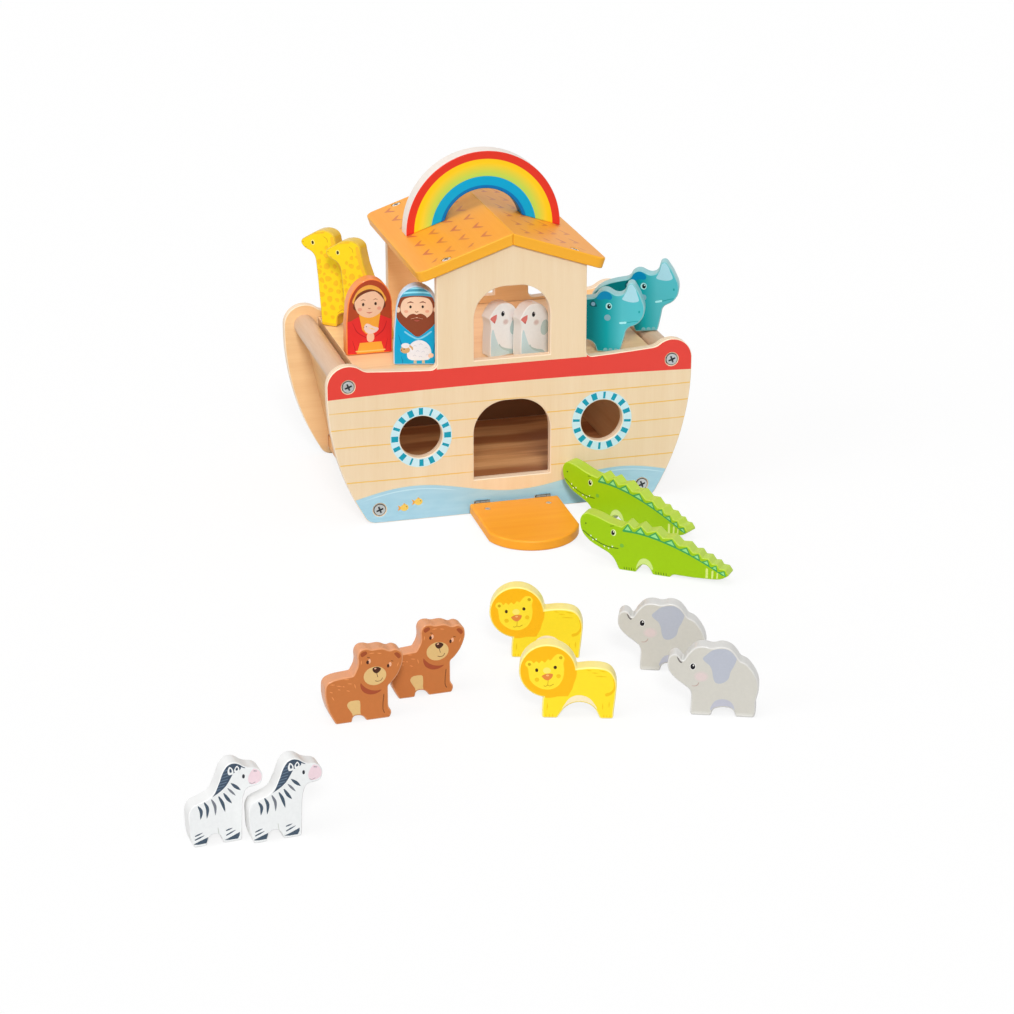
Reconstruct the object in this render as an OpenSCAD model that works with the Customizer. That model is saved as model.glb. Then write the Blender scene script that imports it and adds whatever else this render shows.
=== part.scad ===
// Wooden Noah's ark with a hinged ramp, a rainbow on the roof and loose painted figures.
// Millimetres, +Z up. The bow points along -X and the ramp lies on the -Y side.
// The origin is the middle of the front panel's bottom edge, where the hull stands on the floor.

/* [Hull] */
// Length of the hull over its rounded ends
hull_l = 350; // [330:1:390]
// Depth of the hull over both side panels
hull_d = 206; // [190:1:240]
// Thickness of the side panels
panel_t = 9; // [8:0.5:12]
// Radius of the rounded ends of the panels
end_r = 20; // [17:0.5:24]
// Height of the rail axis above the floor
rail_z = 135.5; // [130:0.5:140]
// Radius of the curved bow and stern
stem_r = 245; // [225:1:300]
// Drop of the widest point below the rail axis
stem_drop = 5.5; // [2:0.5:10]
// Radius of the lower corners
keel_r = 12; // [6:0.5:16]
// Height of the sheer line amidships
sheer_z = 143.5; // [142.5:0.5:147]
// Radius of the sheer line
sheer_r = 1780; // [1500:10:2400]
// Radius of the hollow between sheer line and rounded end
hollow_r = 12; // [6:0.5:16]
// Radius of the hollow between sheer line and house wall
foot_r = 6; // [3:0.5:10]

/* [Openings] */
// Width of the doorway
door_w = 74; // [60:1:80]
// Height of the doorway's sill
door_sill = 33.7; // [28:0.5:40]
// Height of the doorway's top
door_top = 109.5; // [100:0.5:116]
// Corner radius of the doorway's arch
door_r = 31; // [20:1:35]
// Width of the window
window_w = 73; // [60:1:80]
// Height of the window's sill
window_sill = 150.5; // [148:0.5:156]
// Height of the window's top
window_top = 219.5; // [205:0.5:224]
// Corner radius of the window's arch
window_r = 30; // [20:1:34]
// Distance of the portholes from the middle
port_x = 87.2; // [80:0.2:95]
// Height of the portholes
port_z = 81; // [74:0.5:88]
// Radius of the portholes
port_r = 20.4; // [15:0.2:24]

/* [Boards and rails] */
// Radius of the rails
rail_r = 10.5; // [8:0.5:13]
// Height of the deck's top
deck_z = 142; // [139:0.5:142]
// Thickness of the deck
deck_t = 9; // [7:0.5:12]
// Gap between the deck's end and the rail axis
deck_gap = 14; // [12.5:0.5:20]
// Thickness of the hull floor
floor_t = 13; // [11:0.5:16]
// Height of the hull floor's middle
floor_z = 13.2; // [11:0.2:16]
// Distance of the hull floor's ends from the ends of the hull
floor_in = 41; // [39:0.5:50]
// Depth of the grooves for deck and hull floor
groove_d = 3; // [2:0.5:4]
// Clearance of the boards in their grooves
board_fit = 0.1; // [0.05:0.05:0.2]
// Thickness of the slanted end boards
end_t = 9; // [7:0.5:11]
// Lean of the end boards
end_lean = 11.4; // [9:0.2:11.6]
// Step of the end boards back from the hull floor's ends
end_step = 0.7; // [0.5:0.1:4]

/* [House] */
// Width of the house walls
house_w = 142.6; // [130:0.2:150]
// Height of the ridge
ridge_z = 269.5; // [262:0.5:280]
// Pitch of the roof
pitch = 19; // [16:0.5:22]
// Thickness of the roof boards
roof_t = 10.5; // [8:0.5:13]
// Length of the roof boards along the slope
roof_run = 95.2; // [86:0.2:100]
// Overhang of the roof in front and behind
roof_over = 3; // [1:0.5:8]
// Corner radius of the roof boards
roof_corner_r = 8; // [4:0.5:14]

/* [Rainbow] */
// Outer radius of the rainbow
bow_r = 75; // [68:0.5:80]
// Width of the rainbow's band
bow_w = 36; // [30:0.5:40]
// Thickness of the rainbow
bow_t = 18; // [12:0.5:22]
// Drop of the rainbow's centre below the ridge
bow_drop = 23.5; // [20:0.5:26]
// Distance of the rainbow behind the middle of the roof
bow_back = 7; // [0:0.5:12]
// Radius of the pegs under the rainbow
peg_r = 3; // [2:0.5:4]
// Depth of the pegs in the roof
peg_in = 6; // [4:0.5:7]
// Height of the pegs in the rainbow
peg_up = 12; // [8:0.5:16]
// Clearance round the pegs
peg_fit = 0.05; // [0.02:0.01:0.1]

/* [Screws] */
// Radius of the panel screws
screw_r = 2; // [1.5:0.1:2.5]
// Radius of the panel screws' heads
screw_head_r = 5.8; // [4.5:0.1:6.5]
// Height of the panel screws' heads
screw_head_h = 1.9; // [1.5:0.1:2.5]
// Length of the panel screws in the rail or floor
screw_bite = 24; // [16:1:32]
// Depth of the recess for the panel screws' heads
screw_sink = 1.2; // [0.8:0.1:1.6]
// Radius of the roof screws
roof_screw_r = 1.6; // [1.2:0.1:2]
// Radius of the roof screws' heads
roof_head_r = 4.6; // [3.5:0.1:5.5]
// Height of the roof screws' heads
roof_head_h = 1.6; // [1.2:0.1:2]
// Depth of the recess for the roof screws' heads
roof_sink = 1.8; // [1.4:0.1:2.4]
// Length of the roof screws in the panels
roof_bite = 18; // [12:1:24]
// Distance of the roof screws from the ridge along the slope
roof_screw_s = 64.5; // [55:0.5:68]
// Distance of the lower panel screws from the hull floor's ends
low_screw_in = 6.5; // [5:0.5:12]
// Clearance of a screw in the piece it passes through
screw_fit = 0.1; // [0.05:0.05:0.2]
// Clearance round a screw's head
head_fit = 0.4; // [0.2:0.1:0.6]

/* [Ramp] */
// Width of the ramp
ramp_w = 86; // [78:1:90]
// Length of the ramp from the hinge axis
ramp_l = 104; // [100:1:108]
// Thickness of the ramp
ramp_t = 10; // [9:0.5:11]
// Radius of the ramp's rounded end
ramp_end_r = 45; // [45:0.5:60]
// Gap between the hinge axis and the ramp's back edge
ramp_gap = 2.6; // [2.5:0.1:3.5]
// Height of the ramp's top above the hinge axis
ramp_rise = 1.2; // [0.8:0.1:1.6]
// Distance of the hinge axis in front of the hull
axis_out = 3; // [2.8:0.1:3.6]
// Height of the hinge axis
axis_z = 11.8; // [11.2:0.1:12.4]

/* [Hinges] */
// Distance of the hinges from the middle
hinge_x = 29.5; // [24:0.5:33]
// Radius of the hinge knuckles
knuckle_r = 2.2; // [2:0.05:2.3]
// Length of the hull knuckle
knuckle_l = 5; // [4:0.5:7]
// Length of each ramp knuckle
side_l = 4; // [3:0.5:5]
// Gap between neighbouring knuckles
knuckle_gap = 0.3; // [0.3:0.05:0.5]
// Radius of the hinge pins
pin_r = 1.1; // [0.9:0.05:1.3]
// Running clearance of the pins in the ramp knuckles
pin_run = 0.05; // [0.02:0.01:0.1]
// Clearance of the pins in the hull knuckles
pin_hold = 0.02; // [0.01:0.01:0.04]
// Thickness of the hinge leaves
leaf_t = 1.2; // [0.8:0.1:1.5]
// Width of the hinge leaves
leaf_w = 14; // [12:0.5:18]
// Height of the hull leaves' lower edge
leaf_low = 2.5; // [2:0.1:4]
// Length of the ramp leaves under the ramp
leaf_l = 26; // [22:1:32]
// Clearance of the leaves in their recesses
leaf_fit = 0.05; // [0.02:0.01:0.1]
// Radius of the hinge screws
hinge_screw_r = 1.2; // [1:0.1:1.5]
// Radius of the hinge screws' heads
hinge_head_r = 2.6; // [2.2:0.1:3]
// Height of the hinge screws' heads
hinge_head_h = 0.8; // [0.6:0.1:1]
// Length of the hull leaves' screws in the panel
hinge_bite = 4; // [3:0.5:4.5]
// Height of the hull leaves' screws
hinge_screw_z = 6; // [5.6:0.1:6.4]
// Distance of the ramp screws from the hinge axis
ramp_screw_y = 18; // [14:0.5:21]

/* [Figures] */
// Thickness of the figures
fig_t = 14; // [11:0.5:16]
// Gap between a figure's feet and the deck it stands on
seat_gap = 0.3; // [0.2:0.05:0.5]
// Turn of the curves between two outline points
arc_step = 12; // [8:1:20]
// Radius of the lion's mane
mane_r = 22.8; // [20:0.2:25]
// Height of the scutes above the crocodile's back
scute_h = 6; // [4:0.5:7]
// Height of the hollows between the scutes above the crocodile's back
scute_root_h = 1; // [0.5:0.1:2]
// Radius of the scutes' tips
scute_tip_r = 1.5; // [0.5:0.1:2.5]
// Radius of the hollows between the scutes
scute_root_r = 1; // [0.5:0.1:2]
// Length of the rhinoceros over its feet
rhino_span = 62; // [56:0.5:68]

/* [Places on the deck] */
// First giraffe, from the bow rail and the front panel
giraffe_1_at = [24, 155.5]; // [0:0.5:170]
// Second giraffe, from the bow rail and the front panel
giraffe_2_at = [39.5, 114.5]; // [0:0.5:170]
// Woman, from the bow rail and the front panel
woman_at = [14, 65.5]; // [0:0.5:170]
// Man, from the bow rail and the front panel
man_at = [50, 27.5]; // [0:0.5:170]
// First dove, from the middle and the front panel
dove_1_at = [-13.5, 23]; // [-20:0.5:40]
// Second dove, from the middle and the front panel
dove_2_at = [13.5, 14]; // [-20:0.5:40]
// First rhinoceros, from the stern rail and the front panel
rhino_1_at = [-47.5, 8.5]; // [-60:0.5:100]
// Second rhinoceros, from the stern rail and the front panel
rhino_2_at = [3, 48.5]; // [-60:0.5:100]
// Turn of the giraffes
giraffe_turn = -40; // [-60:0.5:60]
// Turn of the woman
woman_turn = 0; // [-60:0.5:60]
// Turn of the man
man_turn = -14; // [-60:0.5:60]
// Turn of the doves
dove_turn = 18; // [-60:0.5:60]
// Turn of the rhinoceroses
rhino_turn = -22; // [-60:0.5:60]

/* [Places on the floor] */
// First crocodile
crocodile_1_at = [71, -49.5]; // [-600:0.5:200]
// Second crocodile
crocodile_2_at = [55.5, -174]; // [-600:0.5:200]
// First bear
bear_1_at = [-259, -419.5]; // [-600:0.5:200]
// Second bear
bear_2_at = [-200, -386.5]; // [-600:0.5:200]
// First lion
lion_1_at = [-98.5, -450.5]; // [-600:0.5:200]
// Second lion
lion_2_at = [-90.5, -331.5]; // [-600:0.5:200]
// First elephant
elephant_1_at = [15.5, -476]; // [-600:0.5:200]
// Second elephant
elephant_2_at = [3.5, -383.5]; // [-600:0.5:200]
// First zebra
zebra_1_at = [-401, -593.5]; // [-650:0.5:200]
// Second zebra
zebra_2_at = [-358, -598.5]; // [-650:0.5:200]
// Turn of the first crocodile
crocodile_1_turn = -52; // [-60:0.5:60]
// Turn of the second crocodile
crocodile_2_turn = -38; // [-60:0.5:60]
// Turn of the bears
bear_turn = 3; // [-60:0.5:60]
// Turn of the lions
lion_turn = -17.5; // [-60:0.5:60]
// Turn of the elephants
elephant_turn = -22; // [-60:0.5:60]
// Turn of the zebras
zebra_turn = 5; // [-60:0.5:60]

/* [Hidden] */
$fn = 96;
big_fn = 1440;
skin = 1;
front_y = -panel_t / 2;
inner_y = panel_t / 2;
back_y = front_y + hull_d;
back_inner_y = back_y - panel_t;
mid_y = front_y + hull_d / 2;
inner_d = back_inner_y - inner_y;
rail_x = hull_l / 2 - end_r;
stem_x = stem_r - hull_l / 2;
stem_z = rail_z - stem_drop;
sheer_c = [0, sheer_z + sheer_r];
keel_c = [sqrt(pow(stem_r - keel_r, 2) - pow(stem_z - keel_r, 2)) - stem_x, keel_r];
keel_out = unit(keel_c - [-stem_x, stem_z]);
hollow_c = meet([rail_x, rail_z], end_r + hollow_r, sheer_c, sheer_r - hollow_r);
foot_x = house_w / 2 + foot_r;
foot_c = [foot_x, sheer_c.y - sqrt(pow(sheer_r - foot_r, 2) - foot_x * foot_x)];
roof_z = ridge_z - roof_t / cos(pitch);
deck_l = 2 * (rail_x - deck_gap);
floor_l = hull_l - 2 * floor_in;
low_screw_x = floor_l / 2 - low_screw_in;
floor_top = floor_z + floor_t / 2;
rail_low = rail_z - rail_r;
bow_z = ridge_z - bow_drop;
bow_y = mid_y + bow_back;
peg_x = bow_r - bow_w / 2;
peg_z = ridge_z - peg_x * tan(pitch);
axis_y = front_y - axis_out;
ramp_under = ramp_t - ramp_rise;
ramp_tilt = asin((axis_z - ramp_under) / ramp_l);
pin_l = knuckle_l + 2 * side_l + 4 * knuckle_gap;
stand_z = deck_z + seat_gap;
rhino_reach = (rhino_2_at.x - fig_t * sin(rhino_turn)) / cos(rhino_turn);
rhino_tilt = asin((rail_z + rail_r - deck_z) / (rhino_span - rhino_reach));
rhino_nose_z = stand_z + rhino_span * sin(rhino_tilt);
keel_cut = 3 * keel_r;
ridge_cut = 4 * roof_t;
straight = 178;
same_point = 0.1;

// Outlines are listed seen from the front: right, up and, where a corner is crisp, its radius.
bear_outline = [
    [0, 0, 2], [-6, 11], [-9, 25], [-8, 36], [-1, 39], [14.5, 40, 2], [19, 48], [18, 57],
    [21, 62], [27, 62], [30, 60.5], [39, 61], [45, 57.5], [49, 59], [55, 56], [56, 48], [52, 37],
    [46, 30], [43, 28], [43, 9], [46, 5], [44, 0, 2], [25, 0, 2], [21.5, 5], [14, 5.5], [13, 0, 1.5]
];
lion_outline = [
    [10, 40], [-1, 20], [-1, 0, 2], [11, 0, 2], [18, 11], [29, 15], [40, 11], [45, 0, 2],
    [55.5, 0, 2], [56, 11], [58, 22], [58, 33], [53, 42], [44, 44.5], [26.5, 44]
];
mane_at = [3.5, 40.5];
elephant_outline = [
    [-19, 43], [-18, 50], [-13, 52.5], [-9, 50], [-7, 45.5], [-3, 53], [3, 59], [10, 60],
    [17, 58], [23, 60.5], [31, 58.5], [36, 52.5], [38, 48.5], [43.5, 46.5], [49, 40], [53, 32],
    [54, 24], [51, 13], [52, 5], [50.5, 0, 2], [36, 0, 2], [34, 6.5], [25.5, 8.5], [17.5, 5.5],
    [16.5, 0, 2], [0, 0, 2], [0.5, 21], [-6, 26], [-13, 31], [-18, 37.5]
];
zebra_outline = [
    [0, 0, 2], [-3, 8], [-3.5, 28], [0, 33.5], [8, 35.5], [14.5, 38.5], [18.5, 46], [22.5, 57.5],
    [27, 63], [34, 63], [40, 57.5], [49, 56], [53, 50], [51, 42.5], [45.5, 41.5], [40, 41],
    [37, 33.5], [36, 14], [35.5, 0, 2], [22, 0, 2], [19, 8], [12, 8.5], [9, 0, 2]
];
giraffe_outline = [
    [-38, 82], [-34, 75.5], [-22, 71], [-20, 55], [-17, 16], [-16, 0, 2], [0, 0, 2], [1.5, 12],
    [7.5, 15.5], [13.5, 12], [15, 0, 2], [29, 0, 2], [24, 22], [7, 62], [1.5, 79], [0, 91],
    [-8, 95], [-18, 94], [-27, 89]
];
woman_outline = [
    [0, 0, 2], [44, 0, 2], [45, 40], [44, 57], [36, 69.5], [24, 74], [12, 69], [3.5, 57], [0.5, 40]
];
man_outline = [
    [0, 0, 2], [44, 0, 2], [44, 26], [42, 45], [41, 58], [36, 70], [22, 78], [8, 70], [3, 58],
    [2, 45], [0, 26]
];
dove_outline = [
    [0, 0, 2], [-0.5, 12], [0.5, 24], [1, 32], [-1, 38, 1], [3, 45], [9, 50.5], [18, 51.5],
    [26, 47.5], [31, 39], [32.5, 28], [33, 14], [32.5, 0, 2]
];
rhino_outline = [
    [0, 0, 2], [3.5, 10], [6.5, 24], [16, 27], [22, 34], [23.5, 43], [21, 52], [16, 62],
    [12, 68], [7, 67], [4, 57], [-3, 55], [-13, 61], [-20, 58.5], [-23, 52.5], [-42, 50],
    [-54, 45], [-62, 36], [-64, 22], [-rhino_span, 0, 2], [-43, 0, 2], [-40, 9], [-32, 12],
    [-24, 9], [-21, 0, 2]
];
crocodile_belly = [
    [-37, 50], [-42, 44], [-41, 32], [-33, 23], [-10, 12.5], [-4, 0, 2], [12, 0, 2], [15, 6],
    [20, 9], [25, 6], [28, 0, 2], [44, 0, 2], [47, 3], [75, 3], [92, 5], [99, 10, 1.5]
];
crocodile_head = [[-14, 43], [-26, 48]];
crocodile_back = [[-2, 40], [38, 42], [98, 10]];
// Hollows between the scutes, as shares of the crocodile's back from the head on
scute_steps = [0, 0.14, 0.28, 0.44, 0.59, 0.71, 0.79, 0.87, 0.93, 1];

function unit(v) = v / norm(v);
function flat(p) = [p[0], p[1]];

// Right-hand meeting point of two circles, the lower one of the pair
function meet(a, ra, b, rb) =
    let (gap = norm(b - a), along = (gap * gap + ra * ra - rb * rb) / (2 * gap))
    let (side = sqrt(max(0, ra * ra - along * along)), way = unit(b - a))
    a + way * along + side * [-way.y, way.x];

// Arc that rounds the corner p between a and b, as wide as the sides allow unless r is smaller
function round_corner(a, p, b, r) =
    let (toward = unit(a - p), onward = unit(b - p))
    let (half = acos(max(-1, min(1, toward * onward))) / 2)
    2 * half > straight ? [p] :
    let (most = min(norm(a - p), norm(b - p)) / 2 * tan(half))
    let (radius = is_undef(r) ? most : min(r, most))
    let (centre = p + unit(toward + onward) * radius / sin(half))
    let (start = p + toward * radius / tan(half) - centre)
    let (first = atan2(start.y, start.x))
    let (turn = sign(cross(p - a, b - p)) * (180 - 2 * half))
    let (steps = max(1, ceil(abs(turn) / arc_step)))
    [for (i = [0 : steps]) centre + radius * [cos(first + turn * i / steps), sin(first + turn * i / steps)]];

// Closed outline with every corner rounded
function rounded(pts) =
    let (n = len(pts))
    let (raw = [for (i = [0 : n - 1])
        each round_corner(flat(pts[(i + n - 1) % n]), flat(pts[i]), flat(pts[(i + 1) % n]), pts[i][2])])
    let (count = len(raw))
    [for (i = [0 : count - 1]) if (norm(raw[i] - raw[(i + 1) % count]) > same_point) raw[i]];

// Point on the crocodile's back, h above its curve
function back_point(t, h) =
    let (p = crocodile_back)
    let (at = (1 - t) * (1 - t) * p[0] + 2 * t * (1 - t) * p[1] + t * t * p[2])
    let (way = unit((1 - t) * (p[1] - p[0]) + t * (p[2] - p[1])))
    at + h * [-way.y, way.x];

// Scutes from the tail to the head, getting lower towards the tail
function scute_row() = [for (k = [len(scute_steps) - 2 : -1 : 0])
    let (hollow = scute_steps[k], crest = (hollow + scute_steps[k + 1]) / 2)
    each [
        concat(back_point(crest, scute_h * (1 - hollow / 2)), scute_tip_r),
        concat(back_point(hollow, scute_root_h), scute_root_r)
    ]];

// Board of thickness t standing on its edge from y on, its outline drawn in x and z
module upright(y, t) {
    translate([0, y + t, 0])
        rotate([90, 0, 0])
            linear_extrude(t)
                children();
}

module both_sides() {
    children();
    mirror([1, 0, 0])
        children();
}

// Screw with its tip down and the underside of its head at the height zero
module screw(shank_r, bite, head_r, head_h) {
    rotate_extrude()
        polygon([
            [0, -bite], [shank_r, -bite], [shank_r, 0], [head_r, 0], [head_r, head_h / 2],
            [head_r - head_h / 2, head_h], [0, head_h]
        ]);
}

// Bore for a screw, with the recess of its head
module screw_bore(shank_r, bite, head_r, sink) {
    translate([0, 0, -bite])
        cylinder(r = shank_r + screw_fit, h = bite + skin);
    cylinder(r = head_r + head_fit, h = sink + skin);
}

// Puts its children at the heads of the panel screws, pointing out of the panels
module at_panel_screws() {
    for (spot = [[rail_x, rail_z], [low_screw_x, floor_z]])
        both_sides() {
            translate([spot.x, front_y + screw_sink, spot.y])
                rotate([90, 0, 0])
                    children();
            translate([spot.x, back_y - screw_sink, spot.y])
                rotate([-90, 0, 0])
                    children();
        }
}

// Local frame of the roof's left half: top face at height zero, ridge at x zero
module roof_frame() {
    translate([0, 0, ridge_z])
        rotate([0, -pitch, 0])
            children();
}

module at_roof_screws() {
    for (y = [0, back_inner_y + panel_t / 2])
        roof_frame()
            translate([-roof_screw_s, y, -roof_sink])
                children();
}

// Opening with a flat sill and rounded upper corners
module arch_opening(w, sill, top, r) {
    translate([-w / 2, sill])
        square([w, top - r - sill]);
    translate([r - w / 2, sill])
        square([w - 2 * r, top - sill]);
    for (x = [r - w / 2, w / 2 - r])
        translate([x, top - r])
            circle(r);
}

// Piece of a side panel, standing from y zero on
module plate() {
    upright(0, panel_t)
        children();
}

// Cut right through a side panel
module plate_cut() {
    upright(-skin, panel_t + 2 * skin)
        children();
}

// Side of the hull: curved ends, sheer line, rounded ends and the house wall above
module side_panel() {
    difference() {
        union() {
            plate()
                intersection() {
                    translate([-stem_x, stem_z])
                        circle(stem_r, $fn = big_fn);
                    translate([stem_x, stem_z])
                        circle(stem_r, $fn = big_fn);
                    translate([-hull_l / 2, 0])
                        square([hull_l, rail_z]);
                }
            plate()
                difference() {
                    translate([-rail_x, rail_z - skin])
                        square([2 * rail_x, end_r + skin]);
                    translate(sheer_c)
                        circle(sheer_r, $fn = big_fn);
                }
            plate()
                polygon([
                    [-house_w / 2, rail_z], [house_w / 2, rail_z],
                    [house_w / 2, roof_z - house_w / 2 * tan(pitch)], [0, roof_z],
                    [-house_w / 2, roof_z - house_w / 2 * tan(pitch)]
                ]);
            both_sides() {
                plate()
                    translate([rail_x, rail_z])
                        circle(end_r);
                plate()
                    difference() {
                        polygon([
                            hollow_c, hollow_c + hollow_r * unit(hollow_c - sheer_c),
                            [hollow_c.x - skin, rail_z], [rail_x, rail_z],
                            hollow_c + hollow_r * unit([rail_x, rail_z] - hollow_c)
                        ]);
                        translate(hollow_c)
                            circle(hollow_r);
                    }
                plate()
                    difference() {
                        polygon([
                            foot_c, [house_w / 2 - skin, foot_c.y], [house_w / 2 - skin, rail_z],
                            [foot_x, rail_z], foot_c + foot_r * unit(foot_c - sheer_c)
                        ]);
                        translate(foot_c)
                            circle(foot_r);
                    }
            }
        }
        both_sides() {
            plate_cut()
                difference() {
                    polygon([
                        keel_c, [keel_c.x, -skin], [keel_c.x + keel_cut, -skin],
                        keel_c + keel_cut * keel_out
                    ]);
                    translate(keel_c)
                        circle(keel_r);
                }
            plate_cut()
                translate([port_x, port_z])
                    circle(port_r);
        }
        plate_cut()
            arch_opening(window_w, window_sill, window_top, window_r);
    }
}

// Space taken by the deck and the hull floor, grown by a clearance all round
module board_space(l, z, t, fit) {
    translate([-l / 2 - fit, inner_y - groove_d - fit + board_fit, z - fit])
        cube([l + 2 * fit, inner_d + 2 * (groove_d + fit - board_fit), t + 2 * fit]);
}

module panel_cuts() {
    board_space(deck_l, deck_z - deck_t, deck_t, board_fit);
    board_space(floor_l, floor_top - floor_t, floor_t, board_fit);
    at_panel_screws()
        screw_bore(screw_r, panel_t + screw_bite + skin, screw_head_r, screw_sink);
    both_sides()
        at_roof_screws()
            screw_bore(roof_screw_r, roof_t + roof_bite, roof_head_r, roof_sink);
}

module front_panel() {
    color("burlywood")
        difference() {
            translate([0, front_y, 0])
                difference() {
                    side_panel();
                    plate_cut()
                        arch_opening(door_w, door_sill, door_top, door_r);
                }
            panel_cuts();
            both_sides()
                hinge_frame() {
                    hull_leaf_space(leaf_fit);
                    hull_screw_place()
                        screw_bore(hinge_screw_r, hinge_bite + leaf_t, hinge_head_r, 0);
                }
        }
}

module back_panel() {
    color("burlywood")
        difference() {
            translate([0, back_inner_y, 0])
                side_panel();
            panel_cuts();
        }
}

module deck() {
    color("wheat")
        board_space(deck_l, deck_z - deck_t, deck_t, 0);
}

module hull_floor() {
    color("wheat")
        difference() {
            board_space(floor_l, floor_top - floor_t, floor_t, 0);
            at_panel_screws()
                screw_bore(screw_r, panel_t + screw_bite + skin, screw_head_r, screw_sink);
        }
}

// Slanted board between the panels, standing on the hull floor and reaching up under the rail
module end_board() {
    low = floor_top + board_fit;
    high = rail_low - board_fit;
    out = floor_l / 2 - end_step;
    lean = (high - low) * tan(end_lean);
    wide = end_t / cos(end_lean);
    upright(inner_y, inner_d)
        polygon([[out, low], [out + lean, high], [out + lean - wide, high], [out - wide, low]]);
}

module bow_board() {
    color("wheat")
        mirror([1, 0, 0])
            end_board();
}

module stern_board() {
    color("wheat")
        end_board();
}

module rail() {
    difference() {
        translate([rail_x, inner_y, rail_z])
            rotate([-90, 0, 0])
                cylinder(r = rail_r, h = inner_d);
        at_panel_screws()
            screw_bore(screw_r, panel_t + screw_bite + skin, screw_head_r, screw_sink);
    }
}

module bow_rail() {
    color("tan")
        mirror([1, 0, 0])
            rail();
}

module stern_rail() {
    color("tan")
        rail();
}

// Left half of the roof, cut upright at the ridge, with rounded corners at the eaves
module roof_half() {
    long = hull_d + 2 * roof_over;
    start = front_y - roof_over;
    difference() {
        roof_frame()
            translate([0, start, -roof_t])
                linear_extrude(roof_t) {
                    translate([roof_corner_r - roof_run, 0])
                        square([roof_run + roof_t, long]);
                    translate([-roof_run, roof_corner_r])
                        square([roof_run, long - 2 * roof_corner_r]);
                    for (y = [roof_corner_r, long - roof_corner_r])
                        translate([roof_corner_r - roof_run, y])
                            circle(roof_corner_r);
                }
        translate([0, start - skin, ridge_z - ridge_cut])
            cube([ridge_cut, long + 2 * skin, ridge_cut + roof_t]);
        at_roof_screws()
            screw_bore(roof_screw_r, roof_t, roof_head_r, roof_sink);
        mirror([1, 0, 0])
            peg(peg_fit);
    }
}

module roof_left() {
    color("orange")
        roof_half();
}

module roof_right() {
    color("orange")
        mirror([1, 0, 0])
            roof_half();
}

// Right-hand peg between roof and rainbow, grown by a clearance
module peg(fit) {
    translate([peg_x, bow_y, peg_z - peg_in - fit])
        cylinder(r = peg_r + fit, h = peg_in + peg_up + 2 * fit);
}

module rainbow() {
    wide = bow_r + skin;
    color("gold")
        difference() {
            upright(bow_y - bow_t / 2, bow_t)
                difference() {
                    translate([0, bow_z])
                        circle(bow_r, $fn = 2 * $fn);
                    translate([0, bow_z])
                        circle(bow_r - bow_w, $fn = 2 * $fn);
                    polygon([
                        [-wide, bow_z - wide], [wide, bow_z - wide], [wide, ridge_z - wide * tan(pitch)],
                        [0, ridge_z], [-wide, ridge_z - wide * tan(pitch)]
                    ]);
                }
            both_sides()
                peg(peg_fit);
        }
}

module rainbow_pegs() {
    color("tan")
        both_sides()
            peg(0);
}

module panel_screws() {
    color("silver")
        at_panel_screws()
            screw(screw_r, panel_t - screw_sink + screw_bite, screw_head_r, screw_head_h);
}

module roof_screws() {
    color("silver")
        both_sides()
            at_roof_screws()
                screw(roof_screw_r, roof_t - roof_sink + roof_bite, roof_head_r, roof_head_h);
}

// Local frame of the right-hand hinge, on its axis
module hinge_frame() {
    translate([hinge_x, axis_y, axis_z])
        children();
}

// Local frame of the ramp, on the hinge axis, with the ramp running along -Y
module ramp_frame() {
    translate([0, axis_y, axis_z])
        rotate([ramp_tilt, 0, 0])
            children();
}

module knuckle(x, l, bore_r) {
    translate([x - l / 2, 0, 0])
        rotate([0, 90, 0])
            difference() {
                cylinder(r = knuckle_r, h = l);
                translate([0, 0, -skin])
                    cylinder(r = bore_r, h = l + 2 * skin);
            }
}

// Hull leaf, let into the front of the hull up to the hinge axis
module hull_leaf_space(fit) {
    translate([-leaf_w / 2 - fit, axis_out, leaf_low - axis_z - fit])
        cube([leaf_w + 2 * fit, leaf_t + fit, axis_z - leaf_low + 2 * fit]);
}

module hull_screw_place() {
    translate([0, axis_out, hinge_screw_z - axis_z])
        rotate([90, 0, 0])
            children();
}

module hinge_hull_leaves() {
    color("silver")
        both_sides()
            hinge_frame()
                difference() {
                    union() {
                        hull_leaf_space(0);
                        knuckle(0, knuckle_l, pin_r + pin_hold);
                        difference() {
                            translate([-knuckle_l / 2, 0, -knuckle_r])
                                cube([knuckle_l, axis_out + leaf_t, knuckle_r]);
                            rotate([0, 90, 0])
                                cylinder(r = pin_r + pin_hold, h = 2 * knuckle_l, center = true);
                        }
                    }
                    hull_screw_place()
                        screw_bore(hinge_screw_r, leaf_t + skin, hinge_head_r, 0);
                }
}

module hinge_pins() {
    color("dimgray")
        both_sides()
            hinge_frame()
                rotate([0, 90, 0])
                    cylinder(r = pin_r, h = pin_l, center = true);
}

module hinge_screws() {
    color("silver")
        both_sides()
            hinge_frame()
                hull_screw_place()
                    screw(hinge_screw_r, hinge_bite + leaf_t, hinge_head_r, hinge_head_h);
}

// Ramp leaf round the ramp's edge and underside, grown by a clearance
module ramp_leaf_space(fit) {
    translate([-leaf_w / 2 - fit, -ramp_gap - leaf_t - fit, -ramp_under])
        cube([leaf_w + 2 * fit, leaf_t + fit, ramp_under + fit]);
    translate([-leaf_w / 2 - fit, -leaf_l - fit, -ramp_under])
        cube([leaf_w + 2 * fit, leaf_l - ramp_gap + fit, leaf_t + fit]);
}

module ramp_screw_place() {
    translate([0, -ramp_screw_y, ramp_rise - hinge_head_h])
        children();
}

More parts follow.
